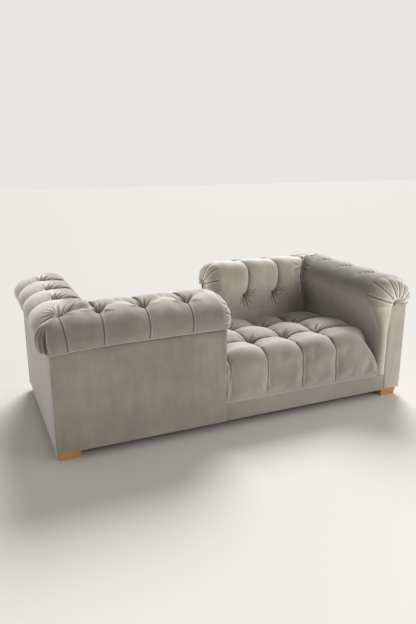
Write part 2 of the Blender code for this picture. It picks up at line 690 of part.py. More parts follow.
half_pieces = {
    "corner_post": box("left_corner_post", (wall_x[0], wall_y[0], post_low),
                       (wall_x[1], wall_y[1], FRAME_TOP), frame_wood, left_half),
    "back_end_post": box("left_back_end_post", (back_plane - POST_WIDTH, wall_y[0], post_low),
                         (back_plane, wall_y[1], FRAME_TOP), frame_wood, left_half),
    "arm_end_post": box("left_arm_end_post", (wall_x[0], frame_y - POST_WIDTH, post_low),
                        (wall_x[1], frame_y, FRAME_TOP), frame_wood, left_half),
    "back_top_rail": box("left_back_top_rail", (rail_start_x, wall_y[0], FRAME_TOP - TOP_RAIL),
                         (rail_end_x, wall_y[1], FRAME_TOP), frame_wood, left_half),
    "arm_top_rail": box("left_arm_top_rail", (wall_x[0], rail_start_y, FRAME_TOP - TOP_RAIL),
                        (wall_x[1], rail_end_y, FRAME_TOP), frame_wood, left_half),
    "back_tack_rail": box("left_back_tack_rail", (rail_start_x, wall_y[0], TACK_Z),
                          (rail_end_x, wall_y[1], TACK_Z + TACK_RAIL), frame_wood, left_half),
    "outside_back": box("left_outside_back", (-half_length, -half_depth, BASE_BOTTOM),
                        (-BACK_END, -half_depth + PANEL, HEM_Z), velvet, left_half, PANEL_EDGE),
    "outside_arm": box("left_outside_arm", (-half_length, -frame_y, BASE_BOTTOM),
                       (-half_length + PANEL, front_y, HEM_Z), velvet, left_half, PANEL_EDGE),
    "back_facing": box("left_back_facing", place_back(back_reach + GAP, facing_start, deck_top + GAP),
                       place_back(back_reach + GAP + COVER, FACING_WIDTH, HEM_Z), velvet, left_half,
                       PANEL_EDGE / 2),
    "arm_facing": box("left_arm_facing", place_arm(arm_reach + GAP, facing_start, BASE_BOTTOM),
                      place_arm(arm_reach + GAP + COVER, FACING_WIDTH, HEM_Z), velvet, left_half,
                      PANEL_EDGE / 2),
    "back_pad": add("left_back_pad", build_pad(place_back, back_reach, back_foot_z), velvet, left_half),
    "arm_pad": add("left_arm_pad", build_pad(place_arm, arm_reach, arm_foot_z), velvet, left_half),
    "back_fan": add("left_back_fan", build_fan(place_back, back_reach, back_foot_z), velvet, left_half),
    "arm_fan": add("left_arm_fan", build_fan(place_arm, arm_reach, arm_foot_z), velvet, left_half),
    "back_button": add("left_back_button", build_button(place_back, back_reach), velvet, left_half),
    "arm_button": add("left_arm_button", build_button(place_arm, arm_reach), velvet, left_half),
}
for name, piece in half_pieces.items():
    turn_over(piece, f"right_{name}")

# Bands over the rails below the open seat fronts
band_x = half_length - FACING_WIDTH - GAP
box("front_seat_band", (-BACK_END + GAP, -front_y, BASE_BOTTOM), (band_x, -frame_y - GAP, BAND_TOP),
    velvet, edge=PANEL_EDGE / 2)
box("rear_seat_band", (-band_x, frame_y + GAP, BASE_BOTTOM), (BACK_END - GAP, front_y, BAND_TOP),
    velvet, edge=PANEL_EDGE / 2)

bpy.context.view_layer.update()
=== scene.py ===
# Looks of a tufted velvet tete-a-tete sofa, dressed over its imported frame
import json
import math

import bmesh
import bpy
import numpy as np
from mathutils import Matrix, Vector


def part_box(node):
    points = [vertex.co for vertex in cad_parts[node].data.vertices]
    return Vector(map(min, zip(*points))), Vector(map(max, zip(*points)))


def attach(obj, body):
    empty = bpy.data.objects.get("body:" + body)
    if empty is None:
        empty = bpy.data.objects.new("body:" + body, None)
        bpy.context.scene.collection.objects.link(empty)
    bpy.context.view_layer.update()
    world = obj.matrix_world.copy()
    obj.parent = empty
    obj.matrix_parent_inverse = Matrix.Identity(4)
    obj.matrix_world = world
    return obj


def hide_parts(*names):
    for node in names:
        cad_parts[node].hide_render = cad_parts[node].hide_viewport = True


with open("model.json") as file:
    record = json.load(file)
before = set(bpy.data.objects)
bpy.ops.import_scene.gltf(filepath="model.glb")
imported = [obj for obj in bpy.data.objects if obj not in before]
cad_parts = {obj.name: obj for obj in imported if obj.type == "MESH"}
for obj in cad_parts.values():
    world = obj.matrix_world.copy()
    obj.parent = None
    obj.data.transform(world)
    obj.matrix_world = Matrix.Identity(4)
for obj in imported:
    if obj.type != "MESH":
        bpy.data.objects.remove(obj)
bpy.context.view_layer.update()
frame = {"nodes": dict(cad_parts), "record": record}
scene = bpy.context.scene
scene.view_settings.view_transform = "Standard"
print("stage: frame loaded,", len(frame["nodes"]), "nodes")

# Sizes that the frame gives
backPanel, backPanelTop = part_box("left_outside_back")
bandLow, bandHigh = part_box("front_seat_band")
backPadLow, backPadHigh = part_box("left_back_pad")
armPadLow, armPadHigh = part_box("left_arm_pad")
halfLength, halfDepth = -backPanel.x, -backPanel.y
baseZ, hemZ = backPanel.z, backPanelTop.z
backReach, armReach = backPadHigh.x + halfLength, armPadHigh.y + halfDepth   # pads, from the outer corner
backFoot, armFoot = backPadLow.z, armPadLow.z
seatX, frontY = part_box("seat_pad")[1].x, -bandLow.y
notchX = -bandLow.x   # seat edge beside each back's end
bandTop = bandHigh.z
coverDepth = bandHigh.y - bandLow.y

# Small helpers
halfTurn = Matrix.Rotation(math.pi, 4, "Z")   # from the left half to the right


def smooth(x):   # 0 to 1, level at both ends
    x = np.clip(x, 0.0, 1.0)
    return x * x * (3 - 2 * x)


def hump(off, wide, power=2):   # 1 on its line, fading to both sides
    return np.exp(-(np.abs(off) / wide) ** power)


def gradedLines(stops, focus, fine, coarse, reach):   # steps are fine near each focus
    lines = [stops[0]]
    for low, high in zip(stops, stops[1:]):
        probe = np.linspace(low, high, 400)
        near = np.min(np.abs(probe[:, None] - np.array(focus)[None, :]), axis=1)
        step = fine + (coarse - fine) * smooth(near / reach)
        count = np.concatenate([[0], np.cumsum(np.diff(probe) / ((step[1:] + step[:-1]) / 2))])
        parts = max(1, int(round(count[-1])))
        lines.extend(np.interp(np.linspace(0, count[-1], parts + 1)[1:], count, probe))
    return np.array(lines)


def evenCurve(points, count, soft):   # even steps along a curve, with rounded normals so that folds fan out
    length = np.concatenate([[0], np.cumsum(np.hypot(*np.diff(points, axis=0).T))])
    s = np.linspace(0, length[-1], count)
    t, z = (np.interp(s, length, points[:, k]) for k in (0, 1))
    average = np.ones(soft) / soft
    dt, dz = (np.convolve(np.pad(np.gradient(values), soft // 2, mode="edge"), average, mode="valid")
              for values in (t, z))
    size = np.hypot(dt, dz)
    return dict(s=s, t=t, z=z, nt=-dz / size, nz=dt / size), length


def drift(u, v, size, seed):   # slow uneven waves, about -1 to 1
    rng = np.random.default_rng(seed)
    total = np.zeros(np.broadcast(u, v).shape)
    for _ in range(7):
        turn, phase = rng.uniform(0, 2 * math.pi, 2)
        wave = rng.uniform(0.7, 1.9) / size
        total = total + np.sin(2 * math.pi * wave * (u * math.cos(turn) + v * math.sin(turn)) + phase)
    return total / 3.2


def foldLines(seed, low, high, count):   # angles of the folds about a tuft, a little uneven
    uneven = np.random.default_rng(seed).uniform(-0.28, 0.28, count)
    return np.linspace(low, high, count) + uneven * (high - low) / (count - 1)


def gathers(across, down, folds, size, lift):   # small sharp folds out of a tuft; 0 is straight down
    r = np.hypot(across, down)
    turn = np.arctan2(across, down)
    folds = np.concatenate([[folds[0] - 0.5], np.sort(folds), [folds[-1] + 0.5]])
    k = np.clip(np.searchsorted(folds, turn) - 1, 0, len(folds) - 2)
    share = np.clip((turn - folds[k]) / (folds[k + 1] - folds[k]), 0, 1)
    ridge = np.where((turn > folds[0]) & (turn < folds[-1]), np.sin(math.pi * share) ** 0.6, 0.0)
    ridge = np.where((turn < folds[1]) | (turn > folds[-2]), np.maximum(ridge, 0.0) * 0.6, ridge)
    return lift * (ridge - 0.55) * (r / size) * np.exp(1 - r / size) * smooth((0.105 - r) / 0.04)


def pleat(across, down, turn, length, depth):   # one sharp fold out of a tuft, lapped to one side
    run = down * math.cos(turn) + across * math.sin(turn)
    off = across * math.cos(turn) - down * math.sin(turn)
    strength = depth * smooth(run / 0.010) * smooth((length - run) / (0.7 * length))
    return strength * (0.60 * hump(off - 0.0075, 0.0045) - hump(off, 0.0042))


def blurGrid(values, reach):   # plain average over a square of grid points
    span = 2 * reach + 1
    for axis in (0, 1):
        room = [(0, 0), (0, 0)]
        room[axis] = (reach + 1, reach)
        total = np.cumsum(np.pad(values, room, mode="edge"), axis=axis)
        spots = np.arange(values.shape[axis])
        values = (np.take(total, spots + span, axis=axis) - np.take(total, spots, axis=axis)) / span
    return values


def foldShadeAndHighlight(folds):   # painted shade in the folds and a painted highlight on their edges
    fine = folds - blurGrid(blurGrid(folds, 2), 2)
    return 1 + 0.42 * np.clip(fine / 0.0011, -1.45, 0.75)


def gridFaces(rows, cols, keep=None):
    index = np.arange(rows * cols).reshape(rows, cols)
    quads = np.stack([index[:-1, :-1], index[1:, :-1], index[1:, 1:], index[:-1, 1:]], axis=-1)
    if keep is not None:
        quads = quads[keep]
    return quads.reshape(-1, 4)


def meshFrom(name, points, faces, tone=None):
    mesh = bpy.data.meshes.new(name)
    mesh.from_pydata(np.asarray(points).reshape(-1, 3).tolist(), [], [list(map(int, f)) for f in faces])
    # the tone attribute carries painted shade and painted light into the velvet's colour; 1 where nothing
    # is painted
    shade = mesh.attributes.new("tone", "FLOAT", "POINT")
    values = np.ones(len(mesh.vertices)) if tone is None else np.asarray(tone).ravel()
    shade.data.foreach_set("value", np.clip(values, 0.22, 2.6).astype(np.float32))
    return mesh


def tidyMesh(mesh, merge=0.00002, fill=False):   # one skin, facing out
    bm = bmesh.new()
    bm.from_mesh(mesh)
    bmesh.ops.remove_doubles(bm, verts=bm.verts[:], dist=merge)
    bmesh.ops.delete(bm, geom=[v for v in bm.verts if not v.link_faces], context="VERTS")
    if fill:
        rims = [e for e in bm.edges if e.is_boundary]
        bmesh.ops.holes_fill(bm, edges=rims, sides=0)
    bmesh.ops.recalc_face_normals(bm, faces=bm.faces[:])
    bm.to_mesh(mesh)
    bm.free()
    mesh.shade_smooth()
    return mesh


def addPiece(name, mesh, material, nodes):
    piece = bpy.data.objects.new(name, mesh)
    mesh.materials.clear()
    mesh.materials.append(material)
    scene.collection.objects.link(piece)
    if nodes:
        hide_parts(*nodes)
    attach(piece, "root")
    return piece


def addPair(name, mesh, material, nodes):   # the left half's piece and its half-turned twin
    addPiece("left" + name, mesh, material, ["left_" + n for n in nodes])
    twin = mesh.copy()
    twin.transform(halfTurn)
    addPiece("right" + name, twin, material, ["right_" + n for n in nodes])


def placeBack(along, inward, z):
    return np.stack([along - halfLength, inward - halfDepth, z], axis=-1)


def placeArm(along, inward, z):
    return np.stack([inward - halfLength, along - halfDepth, z], axis=-1)


# Velvet: a matt pile with sheen, mottled where the nap has been brushed
velvetLook = dict(dark=(0.295, 0.264, 0.220), light=(0.375, 0.341, 0.290), bloom=(0.62, 0.60, 0.565),
                  patchScale=5.0, strokeScale=26.0, pileScale=900.0, napScale=55.0, fuzzScale=1300.0,
                  roughness=0.88, specular=0.18,
                  sheen=0.5, sheenRoughness=0.30, sheenTint=(1.0, 0.98, 0.94, 1))


def feed(tree, node, given):   # inputs are plain values, or links from other nodes
    for name, value in given.items():
        if isinstance(value, bpy.types.NodeSocket):
            tree.links.new(value, node.inputs[name])
        else:
            node.inputs[name].default_value = value
    return node


def addNode(tree, kind, given):
    return feed(tree, tree.nodes.new(kind), given)


def newMaterial(name):
    material = bpy.data.materials.new(name)
    material.use_nodes = True
    tree = material.node_tree
    coords = tree.nodes.new("ShaderNodeTexCoord").outputs["Object"]
    return material, tree, tree.nodes["Principled BSDF"], coords


def addNoise(tree, coords, scale, detail, stretch=(1, 1, 1), roughness=0.5):
    mapping = addNode(tree, "ShaderNodeMapping", {"Scale": stretch, "Vector": coords})
    noise = addNode(tree, "ShaderNodeTexNoise", {"Scale": scale, "Detail": detail, "Roughness": roughness,
                                                 "Vector": mapping.outputs["Vector"]})
    return noise.outputs["Fac"]


def addRamp(tree, value, low, high, dark, light):
    ramp = addNode(tree, "ShaderNodeValToRGB", {"Fac": value})
    for stop, place, colour in zip(ramp.color_ramp.elements, (low, high), (dark, light)):
        stop.position, stop.color = place, (*colour, 1)
    return ramp.outputs["Color"]


def addMix(tree, blend, factor, one, two):
    mix = tree.nodes.new("ShaderNodeMix")
    mix.data_type, mix.blend_type = "RGBA", blend
    return feed(tree, mix, {"Factor": factor, "A": one, "B": two}).outputs["Result"]


def addBump(tree, height, strength, distance, **under):   # under is another bump's normal
    given = {"Height": height, "Strength": strength, "Distance": distance, **under}
    return addNode(tree, "ShaderNodeBump", given).outputs["Normal"]


def makeVelvet(name, look, shade=1.0):
    material, tree, shader, coords = newMaterial(name)
    dark, light = (tuple(c * shade for c in look[key]) for key in ("dark", "light"))
    white = (1.0, 1.0, 1.0)
    patches = addRamp(tree, addNoise(tree, coords, look["patchScale"], 4.0), 0.32, 0.68, dark, light)
    strokes = addNoise(tree, coords, look["strokeScale"], 3.0, (1.0, 1.0, 0.16), 0.6)
    strokes = addRamp(tree, strokes, 0.30, 0.70, (0.80, 0.80, 0.80), white)
    pile = addNoise(tree, coords, look["pileScale"], 2.0)
    pile = addRamp(tree, pile, 0.30, 0.70, (0.86, 0.86, 0.86), white)
    colour = addMix(tree, "MULTIPLY", 0.7, addMix(tree, "MULTIPLY", 0.55, patches, strokes), pile)
    facing = addNode(tree, "ShaderNodeLayerWeight", {"Blend": 0.5}).outputs["Facing"]
    grazing = addRamp(tree, facing, 0.12, 0.95, (0, 0, 0), white)
    bloom = addMix(tree, "MIX", grazing, colour, (*look["bloom"], 1))   # sheen of the pile
    tone = tree.nodes.new("ShaderNodeAttribute")   # painted shade and painted light, read from the piece itself
    tone.attribute_name = "tone"
    napAndPaintedLight = addBump(tree, addNoise(tree, coords, look["napScale"], 4.0, (1, 1, 0.4)), 0.10, 0.002)
    fuzz = addNoise(tree, coords, look["fuzzScale"], 2.0)
    feed(tree, shader, {"Base Color": addMix(tree, "MULTIPLY", 1.0, bloom, tone.outputs["Color"]),
                        "Normal": addBump(tree, fuzz, 0.16, 0.0006, Normal=napAndPaintedLight),
                        "Roughness": look["roughness"], "Specular IOR Level": look["specular"],
                        "Sheen Weight": look["sheen"], "Sheen Roughness": look["sheenRoughness"],
                        "Sheen Tint": look["sheenTint"]})
    return material


velvet = makeVelvet("velvet", velvetLook)
# lighter copies of the same velvet as painted light: the outside panels and bands a little lighter, the end
# facings much lighter
litPanelVelvet = makeVelvet("litPanelVelvet", velvetLook, 1.22)
facingVelvet = makeVelvet("facingVelvet", velvetLook, 1.85)


# Finishes of the feet and of the frame inside

def makeWood(name, dark, light, scale, roughness):
    material, tree, shader, coords = newMaterial(name)
    grain = addNoise(tree, coords, scale, 6.0, (0.16, 1.0, 1.0), 0.62)
    pores = addNoise(tree, coords, scale * 9, 3.0, (0.06, 1.0, 1.0))
    colour = addMix(tree, "MULTIPLY", 0.6, addRamp(tree, grain, 0.30, 0.72, dark, light),
                    addRamp(tree, pores, 0.36, 0.52, (0.62, 0.56, 0.50), (1.0, 1.0, 1.0)))
    feed(tree, shader, {"Base Color": colour, "Normal": addBump(tree, pores, 0.12, 0.0008),
                        "Roughness": roughness})
    return material


def makeCloth(name, dark, light, scale):
    material, tree, shader, coords = newMaterial(name)
    weave = addNoise(tree, coords, scale, 3.0)
    feed(tree, shader, {"Base Color": addRamp(tree, weave, 0.3, 0.7, dark, light),
                        "Normal": addBump(tree, weave, 0.3, 0.001), "Roughness": 0.95})
    return material


def makeWire(name, dark, light):
    material, tree, shader, coords = newMaterial(name)
    rub = addRamp(tree, addNoise(tree, coords, 240.0, 3.0), 0.3, 0.7, dark, light)
    feed(tree, shader, {"Base Color": rub, "Metallic": 1.0, "Roughness": 0.38})
    return material


honeyWood = makeWood("honeyWood", (0.58, 0.24, 0.055), (0.80, 0.42, 0.13), 34.0, 0.40)
frameWood = makeWood("frameWood", (0.48, 0.33, 0.19), (0.70, 0.54, 0.35), 30.0, 0.72)
springSteel = makeWire("springSteel", (0.34, 0.34, 0.35), (0.52, 0.52, 0.53))
deckCloth = makeCloth("deckCloth", (0.34, 0.27, 0.17), (0.52, 0.44, 0.31), 420.0)
seatFoam = makeCloth("seatFoam", (0.70, 0.62, 0.44), (0.84, 0.78, 0.60), 300.0)
blackCloth = makeCloth("blackCloth", (0.010, 0.010, 0.011), (0.030, 0.030, 0.032), 700.0)
frameFinish = dict(honey_wood=honeyWood, frame_wood=frameWood, spring_steel=springSteel,
                   deck_cloth=deckCloth, foam=seatFoam, black_cloth=blackCloth)
for entry in frame["record"]["subparts"]:   # rigid and hidden nodes keep their solids
    finish = frameFinish.get(entry["material_slot"])
    if finish:
        node = frame["nodes"][entry["node"]]
        node.data.materials.clear()
        node.data.materials.append(finish)
print("stage: finishes made")

# Tufted walls: each half has one long cover, over the arm, round the corner and along the back
roll = dict(out=0.032, hemOut=0.016, hemEdge=0.0035, cornerSag=0.022, inner=0.262, crest=0.158,
            midZ=0.640, top=0.746, outSquare=2.05, inSquare=2.3, seatIn=0.180, seatLevel=0.400,
            cornerRound=0.070, endRound=0.050)
tufts = dict(pitch=0.225, fromEnd=0.190, rollIn=0.064, armIn=0.092, cornerSeam=0.088, rowZ=0.508,
             insideDepth=0.040, armInside=0.003, foldSize=0.024, foldLift=0.0075,
             leanFrom=0.04, leanRun=0.16, cornerRoom=0.06, hollowDark=0.74, uneven=0.0012)
pockets = dict(   # hollows on top of the rolls
    roll=dict(depth=0.050, wide=0.022, grow=0.85, run=0.054),
    arm=dict(depth=0.038, wide=0.017, grow=0.55, run=0.040),
    corner=dict(depth=0.050, wide=0.030, grow=0.85, run=0.068))
wallForm = dict(   # at marks from the hem, over the crest, to the seat
    backSwell=(0, 0.001, 0.003, 0.003, 0.004, 0.008, 0.011, 0.014, 0.018, 0.017, 0.011, 0.002, 0),
    armSwell=(0, 0.007, 0.018, 0.017, 0.015, 0.009, 0.005, 0, 0, 0, 0, 0, 0),
    backGroove=(0.004, 0.006, 0.006, 0.004, 0.010, 0.016, 0.019, 0.021, 0.015, 0.002, 0),
    armGroove=(0.004, 0.008, 0.012, 0.011, 0.010, 0.008, 0, 0, 0, 0, 0))
insidePleats = [   # turn, length and strength about each inside tuft
    (-0.43, 0.145, 1.1), (-0.80, 0.085, 0.7), (-0.05, 0.090, 0.7), (0.35, 0.095, 0.8), (0.80, 0.075, 0.8),
    (1.25, 0.060, 0.7), (1.75, 0.050, 0.6), (2.35, 0.070, 0.8), (-1.25, 0.060, 0.6), (-1.75, 0.060, 0.7),
    (-2.10, 0.095, 1.0), (-2.42, 0.110, 1.0), (-2.75, 0.080, 0.8)]
cornerGathers = dict(   # turns, size and height
    arm=([0.30, 0.80, 1.25, 1.62, 1.94, 2.26, 2.60], 0.032, 0.0062),
    back=([0.15, 0.55, 0.95, 1.32], tufts["foldSize"], tufts["foldLift"]),
    inside=([1.80, 2.10, 2.38, 2.62, 2.84, 3.04], 0.030, 0.0060))
cornerFolds = [(0.010, 1.0), (0.026, 0.9), (0.043, 0.7)]   # place and strength on the outer corner
halves = dict(   # not quite alike, each with its own painted light on the arm's crest, the inside face and the fans
    left=dict(move=0.0, shift=0.030, seed=0, armCrestLight=1.16, insideLight=0.74, fanLight=0.80),
    right=dict(move=0.036, shift=0.066, seed=500, armCrestLight=0.84, insideLight=1.18, fanLight=0.98))
fan = dict(buttonIn=0.090, buttonZ=0.588, buttonRadius=0.015, buttonHeight=0.010, facingWidth=0.120,
           bulge=0.046, strip=0.026, fold=0.0095, lines=(6, 36, 61, 86, 110, 136, 161),
           middleTone=(2.15, 0.30), stripTone=(1.95, 0.40),   # painted light: a plain level, and a painted highlight on the pale crest
           armOver=(0.050, 1.0), backOver=(0.028, 0.7),   # how far and how strongly pleats run on
           armRim=(1.30, 1.36, 1.15, 1.12), backRim=(1.45, 1.60, 1.40, 1.60))   # painted light round the rim, outside to inside


def wallSection(foot):   # hem, roll and inside face, as a dense curve in inward and z
    crest, edge = roll["crest"], roll["hemEdge"]
    curl = np.linspace(-math.pi / 2, -math.pi, 8)
    under = np.concatenate([[[0.006, hemZ + 0.0012]], np.stack([
        -roll["hemOut"] + edge + edge * np.cos(curl), hemZ + 0.0006 + edge + edge * np.sin(curl)], axis=1)])
    rise = np.linspace(0, 1, 14)[1:-1]
    outer = np.stack([-roll["hemOut"] - (roll["out"] - roll["hemOut"]) * np.sin(rise * math.pi / 2),
                      hemZ + edge + (roll["midZ"] - hemZ - edge) * rise], axis=1)
    turn = np.linspace(0, math.pi, 80)
    power = 2 / np.where(turn < math.pi / 2, roll["outSquare"], roll["inSquare"])
    wide = np.where(turn < math.pi / 2, crest + roll["out"], roll["inner"] - crest)
    over = np.stack([crest - wide * np.sign(np.cos(turn)) * np.abs(np.cos(turn)) ** power,
                     roll["midZ"] + (roll["top"] - roll["midZ"]) * np.abs(np.sin(turn)) ** power], axis=1)
    fall = np.linspace(0, 1, 30)[1:]
    inside = np.stack([roll["seatIn"] + (roll["inner"] - roll["seatIn"]) * (1 + np.cos(math.pi * fall)) / 2,
                       roll["midZ"] + (roll["seatLevel"] - roll["midZ"]) * fall], axis=1)
    points = np.concatenate([under, outer, over, inside, [[roll["seatIn"], foot]]])
    section, length = evenCurve(points, 1200, 25)
    section["s"] = section["s"] - length[len(under) - 1]   # s is 0 on the hem's edge
    return section


def rowsOf(section):   # where tufts, the widest place and the seat lie along the section
    s, t, z = section["s"], section["t"], section["z"]
    above, inside = z > roll["midZ"], t > roll["inner"] / 2
    found = dict(roll=above & (t >= tufts["rollIn"]), arm=above & (t >= tufts["armIn"]),
                 widest=inside & (z <= roll["midZ"]), inside=inside & (z <= tufts["rowZ"]),
                 seat=inside & (z <= roll["seatLevel"]))
    return {name: s[np.argmax(spots)] for name, spots in found.items()}


def leanOf(s, onRoll, shift):   # on a back, the creases slant to the corner as they come over the crest
    return shift * smooth((s - onRoll - tufts["leanFrom"]) / tufts["leanRun"])


def wallColumns(reach, move):
    last = reach - tufts["fromEnd"]
    count = int((last - roll["inner"] + 0.025) / tufts["pitch"]) + 1
    return [last - k * tufts["pitch"] + move for k in reversed(range(count))]


def cornerCrease(inward, s, onRoll):   # up the outer face to the corner tuft, then along the mitre
    start, end = tufts["cornerSeam"], tufts["rollIn"]
    return np.maximum(inward + 0.006, start + (end - start) * smooth(s / onRoll))


def drawIn(t, z, s, depth):   # the free ends are rounded in towards the fan's button, or the facing's edge
    share = (1 - (np.maximum(depth, 0.0) / (roll["endRound"] + fan["bulge"])) ** 3) ** (1 / 3)
    pull = (1 - share) * (0.35 + 0.65 * smooth(s / 0.10))
    inner = t > fan["facingWidth"]
    below = np.where(inner, smooth((fan["buttonZ"] + fan["bulge"] - z) / fan["bulge"]), 0.0)
    toT = fan["buttonIn"] + (fan["facingWidth"] + 0.0005 - fan["buttonIn"]) * below
    toZ = np.where(inner, np.minimum(z, fan["buttonZ"]), fan["buttonZ"])
    return t + (toT - t) * pull, z + (toZ - z) * pull


def fanTurn(t, z):   # angle about the button, from outside over the top
    return np.degrees(np.arctan2(z - fan["buttonZ"], fan["buttonIn"] - t))


def fanFolds(t, z):   # knife pleats about the button: how deep, and painted shade along each fold's line with a painted highlight beside it
    turn = fanTurn(t, z)
    r = np.hypot(z - fan["buttonZ"], fan["buttonIn"] - t)
    lines = np.array([-24.0, *fan["lines"], 190.0])
    k = np.clip(np.searchsorted(lines, turn) - 1, 0, len(lines) - 2)
    share = np.clip((turn - lines[k]) / (lines[k + 1] - lines[k]), 0, 1)
    inside = (turn > lines[0]) & (turn < lines[-1])
    valley = np.where(inside, 1 - np.sin(math.pi * share ** 0.85) ** 0.5, 0.0)
    far = np.min(np.abs(np.radians(turn[..., None] - lines[1:-1])), axis=-1) * r
    shade = 1 - 0.72 * hump(far, 0.0040, 1.5) + 0.30 * hump(far - 0.0105, 0.005)
    return valley, np.where(inside, shade, 1.0)


def rimLight(t, z, side):   # painted light round the rim of a fan
    return np.interp(fanTurn(t, z), [0, 70, 110, 150], fan[side + "Rim"])


def creaseField(rows, columns, along, inward, s, side, shift):   # the creases, and distances from them
    past = np.where(s > rows["widest"], roll["inner"] - inward, 0.0)
    lean = leanOf(s, rows["roll"], shift)
    short = [c - shift < roll["inner"] + tufts["cornerRoom"] for c in columns]   # ends in the inside corner
    lines = [cornerCrease(inward, s, rows["roll"])]
    for column, end in zip(columns, short):
        lines.append(np.maximum(column - lean - past, inward + 0.012) if end else column - lean)
    offs = np.stack([along - line for line in lines])
    nearest = np.argmin(np.abs(offs), axis=0)
    sign = np.take_along_axis(offs, nearest[None], axis=0)[0]
    return dict(along=along, inward=inward, s=s, lines=lines, offs=offs, short=short,
                near=np.abs(sign), before=sign < 0, after=sign > 0, atCorner=nearest == 0,
                inside=smooth((s - rows["roll"]) / 0.10),
                cornerless=smooth((s - rows["roll"] - 0.03) / 0.08),   # no crease down the inside corner
                armShare=smooth((along - inward) / 0.07) if side == "arm" else 0.0)


def swellWall(wall, rows):   # swelling between the creases
    s, offs, lines, inside, armShare = (wall[key] for key in ("s", "offs", "lines", "inside", "armShare"))
    barrel = np.zeros_like(wall["along"])
    for k, off in enumerate(offs):
        if k + 1 == len(lines):
            room, far = np.full_like(off, tufts["pitch"] / 2), np.full_like(off, 9.0)
        else:
            room = np.maximum(lines[k + 1] - lines[k], 0.01) / 2
            far = 2 * room - off
        start = room * wall["cornerless"] if k == 0 else 0.0
        part = np.clip(np.minimum(off + start, far) / room, 0, 1)
        barrel = np.where((off >= 0) & (far >= 0), 1 - (1 - part) ** 2.6, barrel)
    outer = np.clip(-offs[0] / np.maximum(lines[0] - wall["inward"], 0.01), 0, 1)   # past the corner crease
    barrel = np.where(offs[0] < 0, np.maximum(0.8 * (1 - (1 - outer) ** 2.0), wall["cornerless"]), barrel)
    flat = 1 - hump(wall["near"], 0.030)
    onRoll = rows["roll"]
    marks = [0, 0.03, 0.08, onRoll - 0.03, onRoll, onRoll + 0.06, onRoll + 0.12, onRoll + 0.17,
             rows["widest"], rows["inside"], rows["inside"] + 0.05, rows["seat"], rows["seat"] + 0.03]
    backSwell, armSwell = (np.interp(s, marks, wallForm[key]) for key in ("backSwell", "armSwell"))
    puff = flat * (1 - inside) + barrel * inside
    return (backSwell + (armSwell - backSwell) * armShare) * (puff + (barrel - puff) * armShare)


def lapCreases(wall, rows):   # a narrow groove along each crease, with a raised edge on the free end's side
    s, near, before, after = (wall[key] for key in ("s", "near", "before", "after"))
    inside, armShare, onRoll = wall["inside"], wall["armShare"], rows["roll"]
    marks = [0, 0.02, 0.08, onRoll, onRoll + 0.06, onRoll + 0.13, onRoll + 0.18,
             rows["widest"], rows["inside"], rows["inside"] + 0.05, rows["seat"]]
    backGroove, armGroove = (np.interp(s, marks, wallForm[key]) for key in ("backGroove", "armGroove"))
    groove = backGroove + (armGroove - backGroove) * armShare
    groove = groove * np.where(wall["atCorner"], 1 - 0.9 * wall["cornerless"], 1.0)
    crown = 1 - 0.9 * hump(s - onRoll - 0.085, 0.045)   # no raised edge on the crest
    lift = -groove * hump(near, 0.0030 + 0.0014 * inside, 1)
    lift += 0.34 * groove * crown * after * hump(near - 0.006, 0.0034 + 0.002 * inside)
    lift -= 0.85 * groove * before * hump(near, 0.020, 1) * inside
    lift += 0.25 * groove * crown * after * hump(near, 0.030, 1) * inside
    strong = np.clip(groove / (0.005 + 0.010 * inside), 0, 1.2)
    face = smooth((s - onRoll - 0.10) / 0.06)   # the inside, past the crest
    outer = 1 - smooth((s - onRoll + 0.02) / 0.02)
    # painted shade along each groove and on the corner side of the inside creases, and a painted highlight
    # on the raised edge
    shade = 1 - (0.50 + 0.12 * inside) * strong * hump(near, 0.0034 + 0.0016 * inside, 1.6)
    shade -= 0.40 * strong * before * hump(near, 0.016, 1) * face
    shade += (0.26 * outer + 0.58 * face) * strong * after * hump(
        near - 0.0072 - 0.002 * inside, 0.0034 + 0.002 * inside)
    # over the arm's top the crease sinks, with painted shade behind it and a painted highlight on its lip
    overTop = armShare * smooth((s - onRoll) / 0.03) * (1 - smooth((s - onRoll - 0.11) / 0.06))
    lift -= 0.022 * overTop * hump(near, np.where(before, 0.040, 0.006), 1)
    shade -= 0.42 * overTop * hump(near, np.where(before, 0.014, 0.004), 1)
    shade += 0.85 * overTop * after * hump(near - 0.0085, 0.0050)
    return lift, shade


